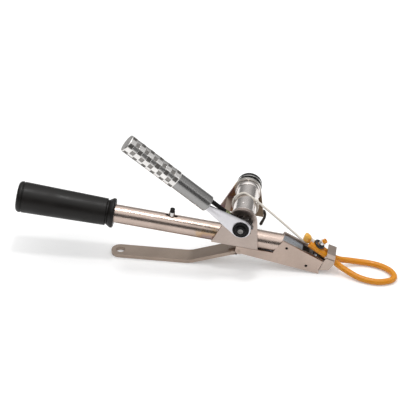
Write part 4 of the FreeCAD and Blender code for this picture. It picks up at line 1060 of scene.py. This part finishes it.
@dataclass(frozen=True)
class MouldedGrip:
    """The hand grip: a slightly tapered body, a groove near each end, and a flared collar in front."""

    rear: float = -306.4
    wall: float = 6.8
    bore: float = 12.75
    rear_radius: float = 21.3
    rear_rounding: float = 5.0
    waist_radius: float = 18.5
    waist: float = -183.6
    groove_radius: float = 16.6
    foot: float = -181.6
    rim: float = -176.6
    front: float = -172.4
    collar_radius: float = 20.4
    collar_rounding: float = 2.2
    end_groove: float = 6.6

    def profile(self) -> np.ndarray:
        """The grip's section, from the rear pole over the outside into the bore.

        Returns:
            Rows of radius and place along the tube.
        """
        taper = (self.rear_radius - self.waist_radius) / (self.waist - self.rear)
        groove = self.rear + self.end_groove
        face = self.rear_radius - self.rear_rounding
        corner = arc((face, self.rear + self.rear_rounding), self.rear_rounding, -90.0, 0.0, 10)
        flat = np.stack((np.linspace(0.5, face - 0.6, 8), np.full(8, self.rear)), axis=-1)
        lip = self.rear_radius - taper * self.end_groove
        ring = ((lip, groove), (lip - 0.2, groove + 0.3), (lip - 0.9, groove + 0.7),
                (lip - 0.9, groove + 1.3), (lip - 0.2, groove + 1.7), (lip, groove + 2.0))
        span = np.linspace(groove + 3.0, self.waist - 1.2, 60)
        body = np.stack((self.rear_radius - taper * (span - self.rear), span), axis=-1)
        neck = ((self.waist_radius, self.waist - 0.5), (self.waist_radius - 0.5, self.waist),
                (self.groove_radius, self.waist + 0.5), (self.groove_radius, self.foot),
                (self.groove_radius + 0.8, self.foot + 0.4), (self.collar_radius - 0.9, self.rim - 0.9))
        crown_at = (self.collar_radius - self.collar_rounding, self.rim + 1.2)
        crown = arc(crown_at, self.collar_rounding, -20.0, 90.0, 12)
        crown[:, 1] += np.linspace(0.0, self.front - crown_at[1] - self.collar_rounding, 12)
        inside = ((self.bore + 0.6, self.front), (self.bore, self.front - 0.5),
                  (self.bore, self.rear + self.wall), (0.5, self.rear + self.wall))
        return np.concatenate((flat, corner, ring, body, neck, crown, inside))

    def build(self) -> None:
        """Turns the grip about the tube; it replaces the CAD's."""
        grid = TUBE.place(turned(self.profile(), 96)[..., ALONG_X])
        add_piece("moulded_grip", grid, Ends.POLES, Body.FRAME, GRIP_RUBBER, "hand_grip")


@dataclass(frozen=True)
class SpoolDrum:
    """The turned drum: a grooved near flange, the core on which the cord lies, and a rounded far collar."""

    core: float = 15.5
    bore: float = 6.1
    flange: float = 17.9
    collar: float = 16.5
    near: float = -12.2
    far: float = 62.6
    axis_height: float = 33.5
    hole_turn: float = math.radians(101.2)
    hole_along: float = 7.0
    hole_radius: float = 0.9
    hole_depth: float = 1.8
    columns: int = 192

    def profile(self) -> np.ndarray:
        """The drum's section, over the outside and back through the bore.

        Returns:
            Rows of radius and place along the spool's axis.
        """
        near, far, flange, core, collar = self.near, self.far, self.flange, self.core, self.collar
        foot = ((self.bore, near), (flange - 0.5, near), (flange, near + 0.5), (flange, near + 2.4),
                (flange - 0.9, near + 2.8), (flange - 0.9, near + 3.4), (flange, near + 3.8),
                (flange, near + 5.6), (flange - 0.5, near + 6.0), (flange - 1.2, near + 6.3),
                (flange - 1.9, near + 7.3), (core + 0.1, near + 8.8))
        body = np.linspace(near + 9.4, far - 11.0, 112)
        head = ((core, far - 10.4), (core - 0.5, far - 10.2), (core - 0.5, far - 9.6),
                (collar - 0.4, far - 9.3), (collar, far - 8.6), (collar, far - 1.4),
                (collar - 0.4, far - 0.5), (collar - 1.2, far), (self.bore, far))
        return np.concatenate((foot, np.stack((np.full(body.shape, core), body), axis=-1), head))

    def build(self) -> None:
        """The profile is turned, and the cord's hole is pressed into it.

        The hole lowers the radius by its depth times e to the minus fourth power of the distance from
        its middle over its radius.
        """
        radius, along = np.moveaxis(self.profile()[:, None], -1, 0)
        turn = FULL_TURN * np.arange(self.columns) / self.columns
        apart = np.hypot(self.core * (turn - self.hole_turn), along - self.hole_along)
        hole = self.hole_depth * np.exp(-(apart / self.hole_radius) ** 4)
        radius = radius - np.where(radius > self.core - 0.1, hole, 0.0)
        points = np.stack((radius * np.cos(turn), along * np.ones_like(turn),
                           self.axis_height + radius * np.sin(turn)), axis=-1)
        add_piece("turned_drum", TUBE.place(points), Ends.LOOP, Body.SPOOL, BRIGHT_STEEL,
                  "spool_drum")


@dataclass(frozen=True)
class RatchetArm:
    """The flat arm between the spool's head and the sleeve, and the collar on the sprung pawl beside it."""

    head_radius: float = 13.2
    neck: Triple = (-55.0, -7.8, -1.2)
    tongue_end: float = -75.0
    near: float = -3.3
    far: float = 1.7
    rounding: float = 0.5
    pawl: Triple = (0.0, 6.0, 3.0)
    pawl_radius: float = 2.9
    collar_radius: float = 3.35
    collar_span: Pair = (-30.5, -23.0)

    def outline(self) -> np.ndarray:
        """The head's circle and its two tangents to the neck.

        A tangent point lies, seen from the centre, at the neck corner's own angle plus or minus the
        angle whose cosine is the radius over the corner's distance.

        Returns:
            Rows of X and Z.
        """
        reach, lower, upper = self.neck
        start, end = (math.degrees(math.atan2(rise, reach) % FULL_TURN
                                   + side * math.acos(self.head_radius / math.hypot(reach, rise)))
                      for rise, side in ((lower, 1.0), (upper, -1.0)))
        head = arc((0.0, 0.0), self.head_radius, start - 360.0, end, 60)
        ends = ((reach, upper), (self.tongue_end, upper), (self.tongue_end, lower), (reach, lower))
        return evened(np.concatenate((head, ends)), 0.5)

    def build(self) -> None:
        """Makes the arm, which replaces the CAD's, and the pawl's collar."""
        arm = LEVER.place(plate(self.outline(), self.near, self.far, self.rounding))
        add_piece("arm_plate", arm, Ends.POLES, Body.LEVER, ARM_STEEL, "ratchet_arm")
        start, end = self.collar_span
        radius = self.collar_radius
        profile = np.array(((self.pawl_radius, start), (radius - 0.3, start), (radius, start + 0.4),
                            (radius, start + 2.2), (radius - 0.35, start + 2.5), (radius - 0.35, start + 3.1),
                            (radius, start + 3.4), (radius, end - 0.4), (radius - 0.3, end),
                            (self.pawl_radius, end)))
        collar = LEVER.place(turned(profile, 32)[..., ALONG_X] + self.pawl)
        add_piece("pawl_collar", collar, Ends.LOOP, Body.PLUNGER, OLIVE_BRASS)


@dataclass(frozen=True)
class SqueezeTongue:
    """The end of the squeeze bar that closes up to the channel's rounded rear, about the lever's pin."""

    pin: Pair = (163.6, 26.4)
    clearance: float = 5.75
    half_width: float = 12.4
    rounding: float = 0.4
    heel: Pair = (150.6, 18.65)
    top: tuple[Pair, ...] = ((156.9, 26.6), (149.0, 23.6))

    def build(self) -> None:
        """A plate across the bar whose front is an arc round the pin, with a hair of clearance."""
        hollow = arc(self.pin, self.clearance, 247.0, 180.0, 16)
        outline = evened(np.concatenate(((self.heel,), hollow, self.top)), 0.4)
        grid = ROW.place(plate(outline, -self.half_width, self.half_width, self.rounding))
        add_piece("lever_tongue", grid, Ends.POLES, Body.SQUEEZE, BAR_STEEL)


@dataclass(frozen=True)
class FingerHook:
    """The bent wire under the hold pawl's tail, thicker towards its end."""

    route: tuple[Triple, ...] = (
        (187.2, 70.0, 36.6), (187.4, 76.0, 37.4), (190.4, 75.9, 34.0), (190.2, 75.9, 26.0),
        (186.4, 75.9, 18.0), (184.2, 75.9, 12.4),
    )
    radius: float = 1.9
    end_radius: float = 2.5

    def build(self) -> None:
        """A round wire along its route; its radius swells to the end and closes in a quarter circle."""
        line = smooth_line("hook_line", ROW.place(self.route))
        length = length_of(line) / MM - 0.1
        share = np.linspace(0.0, 1.0, 60)
        swell = self.radius + (self.end_radius - self.radius) * np.clip(share * 2.0 - 1.0, 0.0, 1.0) ** 2
        left = (1.0 - share) * length
        cap = np.sqrt(np.clip(1.0 - np.clip(1.0 - left / self.end_radius, 0.0, 1.0) ** 2, 0.02, 1.0))
        grid = carried(line, share * length * MM, swell * cap * MM, 20, (0.3, 0.1, 0.95))
        add_piece("finger_hook", grid, Ends.POLES, Body.PAWL, OXIDE, "pawl_hook")


@dataclass(frozen=True)
class DrawCord:
    """The taut cord: once round the drum, then down to the tied latex, where it is wound round the neck."""

    diameter: float = 3.2
    route: tuple[Triple, ...] = (
        (14.8, 24.6, 45.1), (18.7, 25.2, 31.3), (11.6, 25.7, 18.7), (-2.2, 26.2, 14.8), (-14.8, 26.8, 21.9),
        (-18.7, 27.3, 35.7), (-11.6, 27.8, 48.3), (2.2, 28.4, 52.2), (88.0, 4.6, 4.2),
    )
    strands: int = 6
    strand_pitch: float = 7.0
    relief: float = 0.09
    columns: int = 36
    rows_per_mm: float = 4.0
    tie_forward: float = -36.4
    tie_side: float = 4.3
    tie_radius: float = 3.75
    tie_thread: float = 0.85
    tie_turns: float = 3.0
    tie_pitch: float = 1.9
    tie_bump: float = 0.05
    tie_bump_pace: float = 5.0

    def braid(self, along: np.ndarray) -> np.ndarray:
        """The braid's relief over the cord.

        Two families of strands wind round the cord in opposite senses. A point's places in the two
        families are its turn times the number of strands plus or minus its distance along the cord over
        the pitch. Each strand is a rounded ridge, the sine of half a turn across it, and the family
        that lies on top changes from one crossing to the next.

        Args:
            along: distance along the cord of each row, in millimetres.

        Returns:
            Radius in millimetres, rows by columns.
        """
        turn = np.arange(self.columns) / self.columns * self.strands
        climb = along[:, None] / self.strand_pitch * self.strands
        right, left = turn[None, :] + climb, turn[None, :] - climb
        ridges = np.where((np.floor(right) + np.floor(left)) % 2 == 0,
                          np.abs(np.sin(math.pi * right)), np.abs(np.sin(math.pi * left)))
        return self.diameter / 2.0 * (1.0 - self.relief + self.relief * ridges)

    def build(self) -> None:
        line = smooth_line("draw_cord_line", TUBE.place(self.route))
        length = length_of(line)
        stations = np.linspace(0.0, length, int(length / MM * self.rows_per_mm))
        grid = carried(line, stations, self.braid(stations / MM) * MM, self.columns, (0.0, 1.0, 0.0))
        cord = add_piece("taut_cord", grid, Ends.POLES, Body.FRAME, YARN, "draw_cord")
        tie = self.build_tie()

    def build_tie(self) -> bpy.types.Object:
        """The cord wound round the latex neck: a helix about the strand's axis carries a thin round profile.

        Returns:
            The tie.
        """
        turn = np.linspace(0.0, FULL_TURN * self.tie_turns, 110)
        climb = self.tie_thread * self.tie_pitch * turn / FULL_TURN
        helix = np.stack((self.tie_forward + climb, self.tie_side + self.tie_radius * np.cos(turn),
                          self.tie_radius * np.sin(turn)), axis=-1)
        path = BAND.place(helix)
        stations = np.linspace(0.0, length_of(path), 330)
        axis = tuple(BAND.place((1.0, 0.0, 0.0)) - BAND.place((0.0, 0.0, 0.0)))
        bumps = 1.0 + self.tie_bump * np.sin(stations / MM * self.tie_bump_pace)
        grid = carried(path, stations, self.tie_thread * MM * bumps, 14, axis)
        return add_piece("cord_tie", grid, Ends.POLES, Body.FRAME, YARN)


@dataclass(frozen=True)
class Fold:
    """A fold pressed into the latex where it lies near a slanting plane, in millimetres."""

    slope: float
    offset: float
    width: float
    depth: float

    def press(self, height: np.ndarray, along: np.ndarray) -> np.ndarray:
        """Its depth times e to the minus square of the distance from the plane over its width."""
        return self.depth * np.exp(-((height - self.slope * along - self.offset) / self.width) ** 2)


@dataclass(frozen=True)
class LatexBand:
    """The latex loop with its tied end, and the tail that stands in the rubber ring, with its ferrule."""

    radius: float = 4.2
    bore: float = 1.7
    side: float = 4.3
    far_back: float = -35.4
    near_back: float = -36.5
    lead: float = 5.8
    ripples: tuple[Pair, ...] = ((0.006, 0.31), (0.004, 0.83))
    floor_route: tuple[Triple, ...] = (
        (300.0, 9.6, 11.4), (309.5, 14.2, 8.2), (324.5, 17.4, 5.0), (340.0, 17.2, 4.25),
        (355.5, 12.8, 4.25), (367.5, 4.8, 4.25), (373.8, -4.6, 4.25), (375.5, -12.8, 4.25),
        (370.4, -20.9, 4.25), (355.0, -26.2, 4.25), (340.0, -24.4, 4.25), (325.5, -19.4, 5.0),
        (311.0, -11.6, 8.2), (301.0, -6.4, 11.2),
    )
    columns: int = 36
    neck_radius: float = 2.95
    knob_half: Triple = (5.6, 5.0, 5.3)
    knob_middle: Triple = (-41.4, 4.3, 0.4)
    knob_power: float = 0.5
    knob_shear: float = 0.20
    knob_taper: float = 0.22
    upper_fold: Fold = Fold(0.55, 0.6, 0.75, 0.09)
    side_fold: Fold = Fold(-0.35, 1.4, 0.7, 0.06)
    tail_foot: Triple = (-24.6, 0.0, 4.93)
    tail_lean: float = 12.0
    tail_radius: float = 3.25
    ferrule_radius: float = 4.0

    def build_loop(self) -> None:
        """The tube: up one strand, round the loop on the floor and back up the other.

        It narrows under the tie at one end, and the other end is cut and shows its bore. Its radius
        ripples by two sines of the distance along it.
        """
        far = ((self.far_back, self.side, 0.0), (0.0, self.side, 0.0), (self.lead, self.side, 0.0))
        near = ((self.lead, -self.side, 0.0), (0.0, -self.side, 0.0), (self.near_back, -self.side, 0.0))
        points = np.concatenate((BAND.place(far), ROW.place(self.floor_route), BAND.place(near)))
        line = smooth_line("latex_line", points)
        length = length_of(line) / MM
        neck = np.array(((self.neck_radius, 0.0), (self.neck_radius, 2.0), (self.radius * 0.9, 3.4)))
        body = np.linspace(5.0, length - 3.0, 420)
        swell = self.radius * (1.0 + sum(depth * np.sin(body * pace) for depth, pace in self.ripples))
        cut = rim(self.radius, self.bore, length, 5.0, 0.5)
        radii, stations = np.concatenate((neck, np.stack((swell, body), axis=-1), cut)).T
        grid = carried(line, stations * MM, radii * MM, self.columns, (0.0, 0.0, 1.0))
        add_piece("latex_loop", grid, Ends.POLES, Body.FRAME, AMBER, "latex_band")

    def build_knob(self) -> None:
        """The folded and tied end.

        A superellipsoid: each axis is its half size times the sine or cosine of the two angles, raised
        to a power below one, which makes it a soft box. It is sheared backwards with height, narrowed
        towards the neck, and two folds press it in where it lies near a slanting plane.
        """
        fall = np.linspace(0.0, math.pi, 41)[1:-1, None]
        turn = (FULL_TURN * np.arange(56) / 56)[None, :]

        def soft(value: np.ndarray) -> np.ndarray:
            """A sine or cosine raised to the soft box's power, with its sign kept."""
            return np.sign(value) * np.abs(value) ** self.knob_power

        along = self.knob_half[0] * soft(np.cos(fall)) * np.ones_like(turn)
        taper = 1.0 - self.knob_taper * np.clip(along / self.knob_half[0], 0.0, 1.0) ** 2
        across = self.knob_half[1] * soft(np.sin(fall)) * soft(np.cos(turn)) * taper
        rise = self.knob_half[2] * soft(np.sin(fall)) * soft(np.sin(turn)) * taper
        pressed = 1.0 - (self.upper_fold.press(rise, along) + self.side_fold.press(across, along))
        points = np.stack((along - self.knob_shear * rise, across * pressed, rise * pressed), axis=-1)
        grid = BAND.place(points + np.array(self.knob_middle))
        add_piece("latex_knob", grid, Ends.POLES, Body.FRAME, AMBER_KNOT, "band_knob")

    def build_tail(self) -> None:
        """The tail: a turned profile with an open bore, in a bright ferrule with a rolled foot."""
        local = BAND.inner(self.tail_foot, self.tail_lean)
        radius, outer = self.tail_radius, self.ferrule_radius
        stem = np.array(((radius * 0.9, 0.0), (radius, 0.4), (radius, 5.0), (radius * 1.04, 8.0)))
        profile = np.concatenate((stem, rim(radius * 1.06, self.bore, 12.0, 4.0, 0.45)))
        tail = local.place(turned(profile, 32))
        add_piece("latex_tail", tail, Ends.POLES, Body.FRAME, AMBER, "band_tail")
        wall = np.array(((outer - 0.7, 2.2), (outer, 2.5), (outer, 6.9), (outer + 0.45, 7.2),
                         (outer + 0.55, 7.6), (outer + 0.3, 8.0), (outer - 0.2, 8.1), (outer - 0.66, 7.9),
                         (outer - 0.7, 5.0)))
        ferrule = local.place(turned(wall, 40))
        add_piece("tail_ferrule", ferrule, Ends.LOOP, Body.FRAME, FERRULE_STEEL)

    def build(self) -> None:
        """Makes every latex piece."""
        self.build_loop()
        self.build_knob()
        self.build_tail()


@dataclass(frozen=True)
class AreaLamp:
    """A rectangular soft lamp, aimed at the object's middle."""

    name: str
    place: Triple
    size: Pair
    energy: float

    def build(self, target: Vector) -> None:
        """Adds the lamp.

        Args:
            target: the point that it is aimed at.
        """
        data = bpy.data.lights.new(self.name, "AREA")
        data.shape = "RECTANGLE"
        data.size, data.size_y = self.size
        data.energy = self.energy
        lamp = bpy.data.objects.new(self.name, data)
        lamp.location = self.place
        lamp.rotation_euler = (target - Vector(self.place)).to_track_quat("-Z", "Y").to_euler()
        bpy.context.scene.collection.objects.link(lamp)


@dataclass(frozen=True)
class Studio:
    """The pale floor, the studio's light and the camera."""

    centre: Triple = (0.1191, 0.0, 0.0842)
    azimuth: float = math.radians(6.2)
    elevation: float = math.radians(33.5)
    roll: float = math.radians(1.2)
    distance: float = 3.0
    frame_width: float = 0.5591
    sensor: float = 36.0
    sight: float = 50.0
    floor_half: float = 6.0
    floor_drop: float = 0.4 * MM
    floor_color: Triple = (0.86, 0.86, 0.86)
    floor_roughness: float = 0.9
    floor_lift: float = 0.25
    white: Triple = (1.0, 1.0, 1.0)
    brightest: float = 1.40
    horizon: Pair = (-0.25, 0.35)
    sky_near: tuple[Pair, ...] = (
        (0.0, 0.16), (0.10, 0.12), (0.48, 0.11), (0.60, 0.50), (0.72, 1.30), (1.0, 1.40))
    sky_far: tuple[Pair, ...] = (
        (0.0, 0.30), (0.10, 0.24), (0.34, 0.32), (0.50, 0.55), (0.66, 0.78), (0.74, 1.30), (1.0, 1.40))
    lamps: tuple[AreaLamp, ...] = (
        AreaLamp("key_lamp", (0.05, 0.0, 1.5), (0.18, 0.18), 4.2),
        AreaLamp("side_lamp", (1.3, -0.6, 0.6), (0.4, 0.9), 1.0),
    )

    def build_floor(self) -> None:
        """The floor is a flat grid, which camera and glossy rays see lifted towards white."""
        mesh = bpy.data.meshes.new("floor")
        corners = [(x * self.floor_half, y * self.floor_half, -self.floor_drop)
                   for x, y in ((-1, -1), (1, -1), (1, 1), (-1, 1))]
        mesh.from_pydata(corners, [], [(0, 1, 2, 3)])
        floor = bpy.data.objects.new("floor", mesh)
        bpy.context.scene.collection.objects.link(floor)
        surface = Surface("floor_paper", self.floor_color, 0.0, self.floor_roughness, 0.0)
        rays = surface.add("ShaderNodeLightPath").outputs
        seen = surface.math("MAXIMUM", rays["Is Camera Ray"], rays["Is Glossy Ray"])
        lift = surface.math("MULTIPLY", seen, self.floor_lift)
        glow = surface.add("ShaderNodeEmission", {"Color": self.white, "Strength": lift}).outputs[0]
        paper = surface.tree.nodes["Principled BSDF"].outputs[0]
        both = surface.add("ShaderNodeAddShader", {0: paper, 1: glow}).outputs[0]
        surface.give(both, surface.tree.nodes["Material Output"].inputs["Surface"])
        mesh.materials.append(surface.material)
        log.info("floor stands under the object")

    def build_world(self) -> None:
        """The sky is bright overhead and darker towards the horizon, and more so on the camera's side."""
        world = bpy.data.worlds.new("studio")
        world.use_nodes = True
        bpy.context.scene.world = world
        wiring = Wiring(world.node_tree)
        place = wiring.add("ShaderNodeTexCoord").outputs["Generated"]
        parts = wiring.add("ShaderNodeSeparateXYZ", {0: place}).outputs
        skies = (tuple((height, (level / self.brightest,) * 3) for height, level in sky)
                 for sky in (self.sky_near, self.sky_far))
        near, far = (wiring.ramp(parts["Z"], stops) for stops in skies)
        studio = world.node_tree.nodes["Background"]
        wiring.give(wiring.mix(wiring.remap(parts["Y"], *self.horizon), near, far), studio.inputs["Color"])
        wiring.give(self.brightest, studio.inputs["Strength"])
        white = wiring.add("ShaderNodeBackground", {"Color": self.white}).outputs[0]
        seen = wiring.add("ShaderNodeLightPath").outputs["Is Camera Ray"]
        mix = wiring.add("ShaderNodeMixShader", {0: seen, 1: studio.outputs[0], 2: white}).outputs[0]
        wiring.give(mix, world.node_tree.nodes["World Output"].inputs["Surface"])

    def build_camera(self) -> None:
        """The camera looks at the middle from its azimuth and elevation, through a long lens."""
        data = bpy.data.cameras.new("camera")
        data.sensor_width = self.sensor
        data.lens = self.sensor * self.distance / self.frame_width
        data.clip_end = self.sight
        camera = bpy.data.objects.new("camera", data)
        level, rise = math.cos(self.elevation), math.sin(self.elevation)
        away = Vector((math.sin(self.azimuth) * level, -math.cos(self.azimuth) * level, rise))
        camera.location = Vector(self.centre) + away * self.distance
        upright = (-away).to_track_quat("-Z", "Y").to_matrix()
        camera.rotation_euler = (upright @ Matrix.Rotation(self.roll, 3, "Z")).to_euler()
        bpy.context.scene.collection.objects.link(camera)
        bpy.context.scene.camera = camera

    def build(self) -> None:
        """Makes the camera, the floor and the light."""
        self.build_camera()
        self.build_floor()
        self.build_world()
        for lamp in self.lamps:
            lamp.build(Vector(self.centre))
        bpy.context.scene.view_settings.view_transform = "Standard"


def main() -> None:
    """Builds the studio, the cord and the other new pieces, and gives the machined parts their finishes."""
    logging.basicConfig(level=logging.INFO, format="%(message)s")
    for assembly in (Studio(), DrawCord(), LatexBand(), MouldedGrip(), SpoolDrum(), RatchetArm(),
                     SqueezeTongue(), FingerHook(), MachinedParts()):
        assembly.build()
        log.info("%s done", type(assembly).__name__)


if __name__ == "__main__":
    main()
